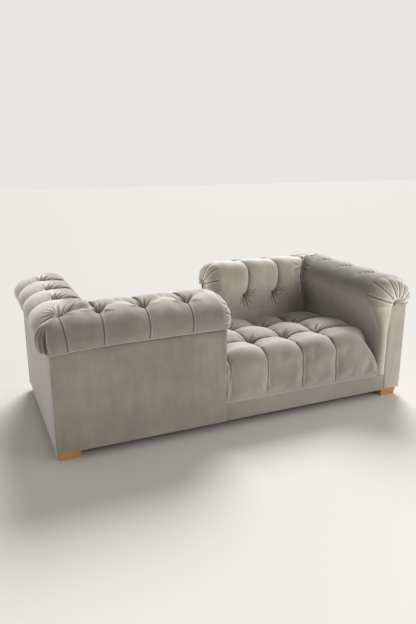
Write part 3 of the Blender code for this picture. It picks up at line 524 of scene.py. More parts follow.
def sinkTufts(wall, rows, seed, side):   # hollows and gathers; on the rolls they open from a crisp lip
    s = wall["s"]
    lift, folds, hollow = (np.zeros_like(wall["along"]) for _ in range(3))
    for k, off in enumerate(wall["offs"]):
        kind = "corner" if k == 0 else "arm" if side == "arm" else "roll"
        form = pockets[kind]
        down = s - rows["arm" if kind == "arm" else "roll"]
        patch = (np.abs(off) < 0.12) & (np.abs(down) < 0.15)
        o, d = off[patch], down[patch]
        lip = d + 0.006 - 0.30 * np.abs(o)   # a shallow vee, with its point in front of the tuft
        fade = np.where(lip >= 0, hump(lip, form["run"], 2.2), hump(lip, 0.009, 1.5))
        pocket = fade * hump(o, form["wide"] + form["grow"] * np.maximum(d, 0))
        lift[patch] -= form["depth"] * pocket
        hollow[patch] = np.maximum(hollow[patch], pocket)
        folds[patch] += 0.0036 * hump(lip + 0.009, 0.007) * hump(o, 0.040)
        if k == 0:
            folds[patch] += gathers(o, d, *cornerGathers[side])
            continue
        turns = foldLines(seed + 31 * k, -1.20, 1.25, 6)
        folds[patch] += gathers(o, d, turns, tufts["foldSize"], tufts["foldLift"])
        if wall["short"][k - 1]:
            continue
        down = s - rows["inside"]
        patch = (np.abs(off) < 0.12) & (np.abs(down) < 0.15)
        o, d = off[patch], down[patch]
        pocket = hump(np.hypot(o, d * 0.85), 0.026, 1.15)
        deep = tufts["insideDepth"] if side == "back" else tufts["armInside"]
        lift[patch] -= deep * pocket
        hollow[patch] = np.maximum(hollow[patch], pocket * 22 * deep)
        rng = np.random.default_rng(seed + 31 * k + 900)
        for turn, length, strength in insidePleats:
            turn, length = turn + rng.uniform(-0.12, 0.12), length * rng.uniform(0.8, 1.15)
            folds[patch] += pleat(o, d, turn, length, 0.21 * deep * strength)
    return lift, folds, hollow


def foldCorners(wall, rows, side):   # folds round the outer corner, gathers in the inside corner
    s = wall["s"]
    toCorner = np.clip(wall["along"] - wall["inward"], 0, None)
    low = smooth((0.14 - s) / 0.07) * smooth(s / 0.015)
    lift = -0.018 * low * hump(toCorner, 0.011, 1)
    darker, lines = 1.0, 0.0
    if side == "arm":
        lift += 0.012 * low * hump(toCorner - 0.050, 0.026)
        # painted shade over the outer corner's pocket
        darker = 1 - 0.26 * low * hump(toCorner - 0.015, 0.016)
        for spot, strength in cornerFolds:
            off = toCorner - spot * (1.25 - 4.0 * s)
            lift += strength * low * (0.0035 * hump(off - 0.008, 0.0055) - 0.006 * hump(off, 0.0036))
            # painted shade in each fold's line and a painted highlight on its ridge
            lines += strength * low * (0.20 * hump(off - 0.008, 0.005) - 0.50 * hump(off, 0.0036))
    gathered = gathers(toCorner, s - rows["widest"] + 0.055, *cornerGathers["inside"])
    folds = np.where(s > rows["roll"] + 0.05, gathered, 0.0) * smooth((s - rows["roll"] - 0.05) / 0.03)
    return lift, folds, darker, lines


def wallRelief(rows, columns, reach, along, inward, s, z, seed, side, shift):
    wall = creaseField(rows, columns, along, inward, s, side, shift)
    laps, shade = lapCreases(wall, rows)
    hollows, folds, hollow = sinkTufts(wall, rows, seed, side)
    corners, cornerGathered, darker, lines = foldCorners(wall, rows, side)
    folds += cornerGathered
    lift = swellWall(wall, rows) + laps + hollows + corners + folds
    lift += tufts["uneven"] * drift(along, s, 0.16, seed)
    plain = smooth((s + 0.004) / 0.02) * smooth((reach - along - 0.01) / 0.06)
    plain = plain * np.where(s > rows["roll"], smooth((z - roll["seatLevel"] + 0.02) / 0.06), 1.0)
    # painted shade in the folds, grooves, corner folds and tuft hollows, with painted highlights on their
    # edges
    tone = foldShadeAndHighlight(folds) * (shade * darker + lines) * (1 - tufts["hollowDark"] * hollow)
    return lift * plain, 1 + (tone - 1) * plain


def turnCorner(along, inward):   # the roll is rounded about the outer corner
    pivot = roll["cornerRound"] - roll["out"]
    inCorner = (along < pivot) & (inward < pivot)
    gap = np.maximum(pivot - inward, 1e-6)
    angle = math.pi / 4 * np.clip((pivot - along) / gap, 0, 1)
    return (np.where(inCorner, pivot - gap * np.sin(angle), along),
            np.where(inCorner, pivot - gap * np.cos(angle), inward))


def wallGrid(section, rows, columns, reach, shift):   # lines follow the mitre, creases and free end
    s = gradedLines([section["s"][0], 0.0, rows["roll"], rows["inside"], rows["seat"], section["s"][-1]],
                    [0.0, rows["roll"], rows["arm"], rows["inside"]], 0.0024, 0.0060, 0.07)
    t = np.interp(s, section["s"], section["t"])
    straight = roll["inner"] + 0.008
    seam = cornerCrease(t, s, rows["roll"])
    corner = t + (seam - t) * np.linspace(0, 1, 34)[:, None]   # mitre to the corner crease
    spread = gradedLines([0.0, 0.9, 1.0], [0.0, 1.0], 0.012, 0.034, 0.4)[1:, None]
    spread = seam + (straight - seam) * spread
    middles = [c for c in columns if c > straight + 0.02]
    flat = gradedLines([straight] + middles + [reach - roll["endRound"], reach], middles + [reach],
                       0.0019, 0.0066, 0.05)[1:, None]
    lean = leanOf(s, rows["roll"], shift)
    room = np.minimum(1.0, (middles[0] - straight - 0.010) / np.maximum(lean, 1e-6))   # left by the corner
    hold = room * np.clip((flat - straight) / (middles[0] - straight), 0, 1)
    hold = (hold + (1 - room) * smooth((flat - middles[0]) / 0.10)) * smooth((reach - flat) / 0.15)
    return s, np.concatenate([corner, spread, flat - hold * lean])


def wallLight(rows, along, s, side, given):   # painted light and shade from the hem over the crest to the seat
    crest, inner, onRoll, widest = given["armCrestLight"], given["insideLight"], rows["roll"], rows["widest"]
    values = dict(back=(1.0, 1.0, 1.44, 0.35 + 1.22 * inner, 1.58 * inner, 1.95 * inner),
                  arm=(1.0, 1.24 * crest, 1.30 * crest, 0.80 * crest, 0.60, 0.96))
    marks = [0.02, onRoll - 0.06, onRoll + 0.03, onRoll + 0.10, widest - 0.05, widest + 0.03]
    napAndPaintedLight = np.interp(s, marks, values[side])
    if side == "arm":   # plain on the outer corner
        napAndPaintedLight = 1 + (napAndPaintedLight - 1) * np.where(s < onRoll + 0.03, smooth((along - 0.10) / 0.16), 1.0)
    # painted shade in the inside corner
    return napAndPaintedLight * (1 - 0.35 * smooth((0.45 - along) / 0.25) * smooth((s - widest + 0.05) / 0.08))


def wallSurface(place, reach, foot, seed, side, given):
    section = wallSection(foot)
    rows = rowsOf(section)
    shift, move = (given["shift"], given["move"]) if side == "back" else (0.0, 0.0)
    columns = wallColumns(reach, move)
    lines, along = wallGrid(section, rows, columns, reach, shift)
    t, z, nt, nz = (np.interp(lines, section["s"], section[key]) for key in ("t", "z", "nt", "nz"))
    inward, s, z = (np.broadcast_to(values, along.shape) for values in (t, lines, z))
    lift, tone = wallRelief(rows, columns, reach, along, inward, s, z, seed, side, shift)
    sag = smooth((0.13 - s) / 0.13) * roll["cornerSag"] * hump(np.clip(along, 0, None), 0.16, 1)
    spotT, spotZ = drawIn(inward + lift * nt, z + lift * nz - sag, s, along - reach + roll["endRound"])
    valley, shade = fanFolds(spotT, spotZ)   # the fan's pleats run on over the rounded end
    over, strength = fan[side + "Over"]
    pleated = smooth((along - reach + over) / over) * smooth(s / 0.03) * strength
    pleated = pleated * np.where(s > rows["widest"], smooth((spotZ - fan["buttonZ"]) / 0.03), 1.0)
    sunk = fan["fold"] * valley * pleated
    deep = np.clip((along - reach + roll["endRound"]) / (roll["endRound"] + fan["bulge"]), 0, 1)
    flank = (1 - deep ** 3) ** (2 / 3)
    slant = np.hypot(deep ** 2, flank)
    spotT, spotZ = spotT - sunk * nt * flank / slant, spotZ - sunk * nz * flank / slant
    toMitre = hump(np.clip(along - inward, 0, None), 0.04, 1)
    newAlong, newInward = turnCorner(along + lift * nt * toMitre - sunk * deep ** 2 / slant, spotT)
    # painted light over the wall, turning into the fan's painted rim light at the free end, with the
    # pleats' painted shade
    napAndPaintedLight = wallLight(rows, along, s, side, given)
    toEnd = smooth((along - reach + 0.04) / 0.04) * smooth((s - 0.02) / 0.05)
    napAndPaintedLight = napAndPaintedLight + (rimLight(spotT, spotZ, side) * given["fanLight"] - napAndPaintedLight) * toEnd
    return place(newAlong, newInward, spotZ), tone * (1 + (shade - 1) * pleated) * napAndPaintedLight, lines


def joinSurfaces(name, surfaces):
    points, tones, faces, start = [], [], [], 0
    for grid, tone in surfaces:
        faces.append(gridFaces(*grid.shape[:2]) + start)
        points.append(grid.reshape(-1, 3))
        tones.append(tone.ravel())
        start += grid.shape[0] * grid.shape[1]
    return meshFrom(name, np.concatenate(points), np.concatenate(faces), np.concatenate(tones))


for half, given in halves.items():
    seed = given["seed"]
    backGrid, backTone, lines = wallSurface(placeBack, backReach, backFoot, 11 + seed, "back", given)
    armGrid, armTone, _ = wallSurface(placeArm, armReach, backFoot, 57 + seed, "arm", given)
    armGrid[0], armTone[0] = backGrid[0], backTone[0]   # both meet on the mitre
    wallMesh = tidyMesh(joinSurfaces(half + "WallCover", [(backGrid, backTone), (armGrid, armTone)]))
    if half == "left":
        hem = int(np.argmin(np.abs(lines)))
        hemPath = np.concatenate([armGrid[::-1, hem], backGrid[1:, hem]])
    else:
        wallMesh.transform(halfTurn)
    addPiece(half + "WallCover", wallMesh, velvet, [half + "_back_pad", half + "_arm_pad"])
    print("stage: tufted wall,", half, len(wallMesh.polygons), "faces")

# Seat: square tufts in rows, a soft nose at each open front, seams down the fronts
seat = dict(top=0.427, rowGap=0.270, nose=0.085, depth=0.044, width=0.040, valley=0.016, sink=0.0245,
            endTufts=0.4, foldSize=0.036, foldLift=0.0052, swell=0.034, edgeDrop=0.050, edgeWidth=0.045,
            slope=0.052, slopeAcross=0.340, slopeDepth=0.320, shoulderWidth=0.200, shoulderLeft=0.270,
            shoulderBack=0.330, shoulderRun=0.130, frontFlat=0.32, frontSwell=0.004, crease=0.0085,
            seam=0.0050, creaseDark=0.40, hollowDark=0.78, uneven=0.0014)
seatFolds = [-2.5, -2.15, -1.45, -1.12, -0.80, 0.85, 1.15, 1.45, 1.90, 2.20, 2.52]   # beside each tuft
seatColumns = [(k + 0.5) * tufts["pitch"] for k in range(-3, 3)]
seatRows = [-seat["rowGap"], 0.0, seat["rowGap"]]
cloth = dict(every=3, pressure=1.2, frames=14, slack=0.012, most=0.005, quality=5, mass=0.3,
             tension=15.0, shear=5.0, bend=0.3)


def seatSection():
    nose = seat["nose"]
    turn = np.linspace(0, math.pi / 2, 30)
    climb = np.linspace(0, 1, 20)[:-1]
    foot, shoulder = bandTop + 0.0005, seat["top"] - nose
    front = np.stack([-frontY - 0.007 * np.sin(math.pi * np.sqrt(climb)),
                      foot + (shoulder - foot) * climb], axis=1)
    curl = np.stack([-frontY + nose * (1 - np.cos(turn)), shoulder + nose * np.sin(turn)], axis=1)
    half = np.concatenate([front, curl])
    return evenCurve(np.concatenate([half, half[::-1] * [-1, 1]]), 1600, 31)[0]


def nearestStop(value, stops):   # distance from the nearest stop
    return np.min(np.abs(value[..., None] - np.array(stops)), axis=-1)


def arch(near, room):   # 0 on a crease, 1 half way between two
    return (1 - (1 - np.clip(near / room, 0, 1)) ** 2.2) ** 0.75


def seatEdge(x, y, notchY, over=0.0):   # distance from the arms and backs
    edge = seatX - np.abs(x)
    for turn in (1, -1):
        edge = np.where(turn * x < over - notchX, np.minimum(edge, turn * y + notchY), edge)
    return edge


def sinkSeatTufts(x, y, top):
    depth, folds, hollow = (np.zeros_like(x) for _ in range(3))
    for i, column in enumerate(seatColumns):
        for j, row in enumerate(seatRows):
            patch = (np.abs(x - column) < 0.13) & (np.abs(y - row) < 0.13)
            dx, dy, high = x[patch] - column, y[patch] - row, top[patch]
            pocket = hump(np.hypot(dx, dy), seat["width"], 1.05)
            pocket = pocket * (seat["endTufts"] if row * column < -0.1 else 1.0)   # slack beside the arms
            depth[patch] += high * seat["depth"] * pocket
            hollow[patch] = np.maximum(hollow[patch], high * pocket)
            rng = np.random.default_rng(400 + 17 * i + j)
            lines = np.array(seatFolds) + rng.uniform(-0.10, 0.10, len(seatFolds))
            facing = 1 if column > 0 else -1   # each sitter's half is the other's, turned round
            gathered = gathers(facing * dx, facing * dy, lines, seat["foldSize"], seat["foldLift"])
            folds[patch] += high * gathered
    return depth, folds, hollow


def seatLight(x, y):   # painted shade towards each back and arm, and painted light beside each back's end
    napAndPaintedLight = np.ones_like(x)
    for turn in (1, -1):
        napAndPaintedLight -= 0.32 * smooth((turn * y - 0.02) / 0.22) * smooth((turn * x + 0.02) / 0.25)
        napAndPaintedLight -= 0.36 * smooth((turn * y + 0.23) / 0.12) * smooth((turn * x - 0.26) / 0.16)
        beside = hump(np.clip(turn * x + notchX, 0, None), 0.16, 1)
        napAndPaintedLight += 0.30 * beside * smooth((-turn * y - 0.30) / 0.12) * smooth((turn * x + notchX + 0.01) / 0.01)
    return napAndPaintedLight


def seatRelief(x, y, z):
    nearX, nearY = nearestStop(x, seatColumns), nearestStop(y, seatRows)
    top = smooth((z - (seat["top"] - seat["nose"])) / seat["nose"])
    level = smooth((z - bandTop) / 0.05)
    front = np.abs(y) - seat["rowGap"]   # above 0 past the last row of tufts
    archX, archY = arch(nearX, tufts["pitch"] / 2), arch(nearY, seat["rowGap"] / 2)
    archY = np.where(front > 0, np.maximum(archY, smooth(front / 0.06)), archY)
    flatter = 1 - seat["frontFlat"] * smooth(front / 0.06)   # the front row
    lift = top * (seat["swell"] * flatter * archX * archY - seat["sink"])
    lift += (1 - top) * level * seat["frontSwell"] * (1 - hump(nearX, 0.03))
    valley = smooth((front + 0.02) / 0.03) * (1 - smooth(front / 0.15))
    lift -= top * seat["valley"] * valley * hump(nearX, 0.026, 1.5)
    crease = np.maximum(hump(nearX, 0.0034, 1), np.where(front <= 0.05, hump(nearY, 0.0034, 1), 0))
    sewn = np.where(x * y > 0, smooth((z - 0.29) / 0.06), 1.0)   # seams start higher beside each back's end
    seam = (1 - top) * (seat["seam"] * level * sewn + 0.001 * sewn)
    lap = nearestStop(x * np.where(y < 0, 1, -1) - 0.007, seatColumns)   # lapped edge beside each seam
    lift -= top * seat["crease"] * crease + seam * hump(nearX, 0.0030, 1)
    lift += 0.30 * seam * hump(lap, 0.004)
    # painted shade in the creases and down the front seams, with a painted highlight on each seam's lapped
    # edge
    dark = seat["creaseDark"]
    shade = 1 - dark * top * crease - dark * (1 - top) * level * sewn * hump(nearX, 0.0034, 1.6)
    shade += 0.42 * (1 - top) * level * sewn * hump(lap, 0.0036)
    depth, folds, hollow = sinkSeatTufts(x, y, top)
    # painted shade along the grooves, as in the hollows
    grooves = np.maximum(hump(nearX, 0.011, 1), np.where(np.abs(y) <= 0.3, hump(nearY, 0.011, 1), 0))
    hollow = np.maximum(hollow, 0.6 * top * grooves)
    edge = np.maximum(seatEdge(x, y, halfDepth - roll["seatIn"]), 0)
    lift -= depth + top * seat["edgeDrop"] * hump(edge, seat["edgeWidth"], 1)
    for turn in (1, -1):   # gathers beside each back's end
        beside = np.clip(turn * x + notchX, 0, None)
        front = smooth((-turn * y - frontY + 0.03) / 0.03) * smooth((z - bandTop) / 0.06)
        front = front * smooth((0.40 - z) / 0.05) * hump(beside, 0.022, 1)
        folds += front * 0.0030 * (np.abs(np.sin(beside * 230 + z * 7)) ** 0.7 - 0.5)
    lift += folds + seat["uneven"] * drift(x, y + z, 0.18, 5) * level
    # painted shade in folds, creases and hollows; the whole cover painted lighter, the front fall a little
    # more than the top
    tone = foldShadeAndHighlight(folds) * shade * (1 - seat["hollowDark"] * hollow) * (1.16 - 0.06 * top)
    return lift, tone * seatLight(x, y)


def seatFall(x, y, z):   # down to each back, and round at the end of each open front
    rise = z - bandTop
    level = smooth(rise / (seat["top"] - seat["nose"] - bandTop))
    fall = np.zeros_like(x)
    for turn in (1, -1):
        slope = smooth(turn * x / seat["slopeAcross"]) * smooth((turn * y / seat["slopeDepth"] + 1) / 2)
        near = np.clip(1 - (seatX - turn * x) / seat["shoulderWidth"], 0, 1)
        forward = smooth((-turn * y - seat["shoulderBack"]) / seat["shoulderRun"])
        left = np.sqrt(1 - (1 - seat["shoulderLeft"] ** 2) * near ** 2)
        fall += seat["slope"] * slope * level + np.maximum(rise, 0) * forward * (1 - left)
    return fall


def seatHeld(x, y, z, notchY):   # how firmly edges, tufts, the band, seams and creases hold the cover
    tuft = np.min([np.hypot(x - column, y - row) for column in seatColumns for row in seatRows], axis=0)
    nearX, nearY = nearestStop(x, seatColumns), nearestStop(y, seatRows)
    held = 0.9 * smooth((0.010 - nearY) / 0.008) * (z > seat["top"] - 0.02)
    for gap, reach, fade in ((seatEdge(x, y, notchY, 0.002), 0.035, 0.020), (tuft, 0.024, 0.012),
                             (z - bandTop, 0.050, 0.030), (nearX, 0.010, 0.008)):
        held = np.maximum(held, smooth((reach - gap) / fade))
    return held


def spreadLines(values, lines, size):   # from some grid lines to all of them, along the first axis
    place = np.interp(np.arange(size), lines, np.arange(len(lines)))
    k = np.minimum(place.astype(int), len(lines) - 2)
    part = (place - k)[:, None, None]
    return values[k] * (1 - part) + values[k + 1] * part


def settleCloth(points, held, keep):   # the cover swells and buckles between what holds it
    rows, cols = (np.unique(np.append(np.arange(0, size, cloth["every"]), size - 1)) for size in held.shape)
    start = points[np.ix_(rows, cols)]
    cells = [np.minimum(lines[:-1] + 1, size - 1) for lines, size in zip((rows, cols), keep.shape)]
    mesh = meshFrom("settling", start, gridFaces(*start.shape[:2], keep[np.ix_(*cells)]))
    sheet = bpy.data.objects.new("settling", mesh)
    scene.collection.objects.link(sheet)
    pins = sheet.vertex_groups.new(name="held")
    for k, weight in enumerate(held[np.ix_(rows, cols)].ravel()):
        pins.add([k], float(weight), "REPLACE")
    solver = sheet.modifiers.new("cloth", "CLOTH")
    solver.point_cache.frame_start, solver.point_cache.frame_end = 1, cloth["frames"]
    solver.collision_settings.use_collision = False
    settings = solver.settings
    settings.quality = cloth["quality"]
    settings.mass = cloth["mass"]
    settings.tension_stiffness = settings.compression_stiffness = cloth["tension"]
    settings.shear_stiffness = cloth["shear"]
    settings.bending_stiffness = cloth["bend"]
    settings.shrink_min = -cloth["slack"]
    settings.use_pressure = True
    settings.uniform_pressure_force = cloth["pressure"]
    settings.vertex_group_mass = "held"
    settings.effector_weights.gravity = 0.0
    for step in range(1, cloth["frames"] + 1):
        scene.frame_set(step)
    settled = sheet.evaluated_get(bpy.context.evaluated_depsgraph_get()).data
    moved = np.empty(len(settled.vertices) * 3)
    settled.vertices.foreach_get("co", moved)
    moved = moved.reshape(start.shape) - start
    scene.frame_set(1)
    bpy.data.objects.remove(sheet)
    bpy.data.meshes.remove(mesh)
    size = np.linalg.norm(moved, axis=-1, keepdims=True)
    print("stage: seat cloth settled, moved up to", round(1000 * float(size.max()), 1), "mm, capped")
    moved = moved * np.minimum(1.0, cloth["most"] / np.maximum(size, 1e-9))
    moved = spreadLines(moved, rows, held.shape[0]).swapaxes(0, 1)
    moved = spreadLines(moved, cols, held.shape[1]).swapaxes(0, 1)
    return points + moved * (1 - held[..., None])


def buildSeat():
    section = seatSection()
    middle = section["s"][-1] / 2
    notchY = halfDepth - roll["seatIn"] - 0.001
    notch = middle - notchY
    tuftLines = [middle + row for row in seatRows]
    s = gradedLines(sorted([0.0, notch, *tuftLines, 2 * middle - notch, 2 * middle]), tuftLines,
                    0.0034, 0.0080, 0.06)
    ends = [-seatX, -notchX, notchX, seatX]
    x = gradedLines(sorted(ends + seatColumns), seatColumns + ends, 0.0026, 0.0080, 0.05)
    midX, midS = ((x[1:] + x[:-1]) / 2)[:, None], ((s[1:] + s[:-1]) / 2)[None, :]
    keep = ((midX > -notchX) | (midS > notch)) & ((midX < notchX) | (midS < 2 * middle - notch))
    y, z, ny, nz = (np.interp(s, section["s"], section[key]) for key in ("t", "z", "nt", "nz"))
    shape = (len(x), len(s))
    x, y, z = x[:, None] + 0 * y, np.broadcast_to(y, shape), np.broadcast_to(z, shape)
    lift, tone = seatRelief(x, y, z)
    newY, newZ = y + lift * ny, z + lift * nz
    points = np.stack([x, newY, newZ - seatFall(x, newY, newZ)], axis=-1)
    points = settleCloth(points, np.clip(seatHeld(x, y, z, notchY), 0, 1), keep)
    return meshFrom("seatCover", points, gridFaces(*shape, keep), tone)


seatMesh = tidyMesh(buildSeat())
addPiece("seatCover", seatMesh, velvet, ["seat_pad"])
print("stage: seat,", len(seatMesh.polygons), "faces")


# Fans: pleated ends of the rolls, with the soft strip that runs down beside each facing

def fanSurface(place, reach, foot, low, side):
    section = wallSection(foot)
    s, t, z = section["s"], section["t"], section["z"]
    start = s[np.argmax((t > 0.2) & (z <= fan["buttonZ"]))]
    steps = 300
    marks = np.concatenate([np.linspace(0, start, steps + 1), np.linspace(start, s[-1], 70)[1:]])
    pleats = np.arange(len(marks)) <= steps   # past them is the strip
    ends = np.full_like(marks, roll["endRound"])
    rimT, rimZ = drawIn(np.interp(marks, s, t), np.interp(marks, s, z), marks, ends)
    fromT = np.where(pleats, fan["buttonIn"], fan["facingWidth"] + 0.0005)
    fromZ = np.where(pleats, fan["buttonZ"], np.minimum(rimZ, fan["buttonZ"]))
    marks, pleats, rimT, rimZ, fromT, fromZ = (
        values[:, None] for values in (marks, pleats, rimT, rimZ, fromT, fromZ))
    share = np.concatenate([np.linspace(0, 0.85, 34), np.linspace(0.85, 1.0, 14)[1:]])[None, :]
    outT, outZ = (rimT - fromT) * share, (rimZ - fromZ) * share
    spotT, spotZ = fromT + outT, fromZ + outZ
    whole = roll["endRound"] + fan["bulge"]
    near = share * (1 - (roll["endRound"] / whole) ** 3) ** (1 / 3)   # up to where the pad ends
    crown = whole * (1 - near ** 3) ** (1 / 3) - roll["endRound"]
    r = np.hypot(spotT - fan["buttonIn"], spotZ - fan["buttonZ"])
    flat = coverDepth + 0.001   # under the button
    height = flat + (crown - flat) * smooth((r - 0.010) / 0.045)
    bulge = np.interp(rimZ, [foot, 0.43, 0.50, fan["buttonZ"] - 0.03, fan["buttonZ"]],
                      [low, low + 0.002, fan["strip"], fan["strip"] + 0.004, fan["bulge"] * 0.85])
    stripHeight = bulge * crown / fan["bulge"] * (0.35 + 0.65 * smooth(outT / 0.010))
    height = np.where(pleats, height, stripHeight)
    height = height + 0.0006 * drift(spotT, spotZ, 0.05, 8) * (1 - share ** 4)
    valley, shade = fanFolds(spotT, spotZ)
    sunk = fan["fold"] * valley * smooth((r - 0.004) / 0.040)
    sunk = np.where(pleats, sunk * smooth(marks / 0.03), 0.0)
    flank, deep = near ** 2, (1 - near ** 3) ** (2 / 3)
    slant = np.hypot(deep, flank)
    inPlane = sunk * flank / slant / np.maximum(np.hypot(outT, outZ), 1e-6)
    grid = place(reach + 0.0003 + np.maximum(height, 0) - sunk * deep / slant,
                 spotT - inPlane * outT, spotZ - inPlane * outZ)
    under = place(np.full_like(spotT[:1], reach), spotT[:1], spotZ[:1])   # tucks in below the lowest pleat
    # painted light on the pleats and the strip, paler on the crest and turning to the rim's painted light,
    # with the pleats' painted shade
    (middle, middleCrest), (strip, stripCrest) = fan["middleTone"], fan["stripTone"]
    bright = middle + middleCrest * hump(r - 0.035, 0.020)
    bright = bright + (rimLight(spotT, spotZ, side) - bright) * smooth((share - 0.30) / 0.70)
    pale = strip + stripCrest * hump(outT - 0.010, 0.010)
    pale = pale + (fan[side + "Rim"][3] - pale) * smooth((share - 0.45) / 0.55)
    tone = np.where(pleats, bright * (1 + (shade - 1) * smooth(marks / 0.03)), pale)
    return np.concatenate([under, grid]), np.concatenate([tone[:1], tone])


for side, place, reach, foot, low in (("back", placeBack, backReach, backFoot, 0.012),
                                      ("arm", placeArm, armReach, armFoot, 0.014)):
    grid, tone = fanSurface(place, reach, foot, low, side)
    for half, given in halves.items():
        name = half + side.title() + "Fan"
        # each half's painted light on its fans
        fanMesh = tidyMesh(meshFrom(name, grid, gridFaces(*grid.shape[:2]), tone * given["fanLight"]))
        if half == "right":
            fanMesh.transform(halfTurn)
        addPiece(name, fanMesh, velvet, [half + "_" + side + "_fan"])
print("stage: pleated fans")


def buttonSurface(place, reach):   # domed, with the gathers of its cover
    turn = np.linspace(0, 2 * math.pi, 49)[:, None]
    lean = np.linspace(0, math.pi * 0.62, 18)[None, :]
    wide = fan["buttonRadius"] * np.sin(np.minimum(lean, math.pi / 2))
    wide = wide * np.where(lean > math.pi / 2, 0.94, 1.0)
    wide = wide * (1 + 0.018 * np.cos(turn * 14) * smooth((lean - 0.9) / 0.5))
    height = fan["buttonHeight"] * np.cos(lean)
    return place(reach + coverDepth + 0.0012 + height + 0 * turn, fan["buttonIn"] + wide * np.cos(turn),
                 fan["buttonZ"] + wide * np.sin(turn))


for side, place, reach in (("back", placeBack, backReach), ("arm", placeArm, armReach)):
    grid = buttonSurface(place, reach)
    name = side.title() + "Button"
    buttonMesh = tidyMesh(meshFrom("cover" + name, grid, gridFaces(*grid.shape[:2])), fill=True)
    addPair(name, buttonMesh, velvet, [side + "_button"])
print("stage: covered buttons")

# Flat padded panels, facings and bands
panels = dict(edge=0.011, pillow=0.003, step=0.012, hemShadow=0.6, hemShadowReach=0.014, behindFan=0.012)
bands = dict(edge=0.006, pillow=0.0015)


def softSlab(low, high, axis, out, form, seed, hemShadow=0.0, edged=False):   # padded, facing along one axis
    low, high = np.array(low), np.array(high)
    side = [k for k in range(3) if k != axis]
    edge, pillow = min(form["edge"], high[axis] - low[axis]), form["pillow"]
    ends = [[low[k], high[k]] for k in side]
    u, v = np.meshgrid(*(gradedLines(e, e, edge / 6, panels["step"], 0.05) for e in ends), indexing="ij")
    fromU, fromV = (np.minimum(w - low[k], high[k] - w) for w, k in zip((u, v), side))
    into = np.hypot(np.maximum(edge - fromU, 0), np.maximum(edge - fromV, 0))
    drop = edge - np.sqrt(np.maximum(edge ** 2 - np.minimum(into, edge) ** 2, 0))
    swell = pillow * (1 - np.exp(-fromU / 0.06)) * (1 - np.exp(-fromV / 0.06))
    swell = swell + 0.0007 * drift(u, v, 0.22, seed) * smooth(fromU / 0.03) * smooth(fromV / 0.03)
    face = (high[axis] if out > 0 else low[axis]) + out * (swell - drop - pillow * 0.6)
    points = np.zeros(u.shape + (3,))
    points[..., side[0]], points[..., side[1]], points[..., axis] = u, v, face
    rim = points.copy()
    rim[..., axis] = low[axis] if out > 0 else high[axis]
    index = np.arange(u.size).reshape(u.shape)
    loop = np.concatenate([index[:, 0], index[-1, 1:], index[-2::-1, -1], index[0, -2:0:-1]])
    allPoints = np.concatenate([points.reshape(-1, 3), rim.reshape(-1, 3)[loop]])
    ring = np.arange(len(loop)) + u.size
    sides = np.stack([loop, ring, np.roll(ring, -1), np.roll(loop, -1)], axis=-1)
    faces = np.concatenate([gridFaces(*u.shape), sides])
    below = np.maximum(high[2] - allPoints[:, 2], 0)
    tone = 1 - hemShadow * hump(below, panels["hemShadowReach"], 1)   # painted shadow under the hem
    if edged:   # painted shade beside the strip, painted highlight on the outer edge
        tone -= 0.45 * hump(high[side[0]] - allPoints[:, side[0]], 0.005, 1)
        tone += 0.22 * hump(allPoints[:, side[0]] - low[side[0]], 0.007, 1)
    return tidyMesh(meshFrom("panel", allPoints, faces, tone), fill=True)


for name, node, axis, out, material, seed in (
        ("OutsideBack", "outside_back", 1, -1, litPanelVelvet, 21),
        ("OutsideArm", "outside_arm", 0, -1, litPanelVelvet, 22),
        ("BackFacing", "back_facing", 0, 1, facingVelvet, 23),
        ("ArmFacing", "arm_facing", 1, 1, facingVelvet, 24)):
    low, high = (list(corner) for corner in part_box("left_" + node))
    if node == "outside_arm":
        high[1] = armReach - halfDepth   # its end lies under the facing
    elif node == "arm_facing":
        low[0] = -halfLength
    onEnd = "facing" in node
    if onEnd:
        high[2] += panels["behindFan"]
    mesh = softSlab(low, high, axis, out, panels, seed, 0.0 if onEnd else panels["hemShadow"], onEnd)
    addPair(name, mesh, material, [node])
for name, node, out in (("frontBand", "front_seat_band", -1), ("rearBand", "rear_seat_band", 1)):
    low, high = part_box(node)
    addPiece(name, softSlab(low, high, 1, out, bands, 31), litPanelVelvet, [node])
print("stage: panels, facings and bands")

# Rolled seams along the hems, corners, facings and bands
seams = dict(radius=0.0018, uneven=0.12, seed=7, tone=1.70, inset=0.0032, step=0.02)


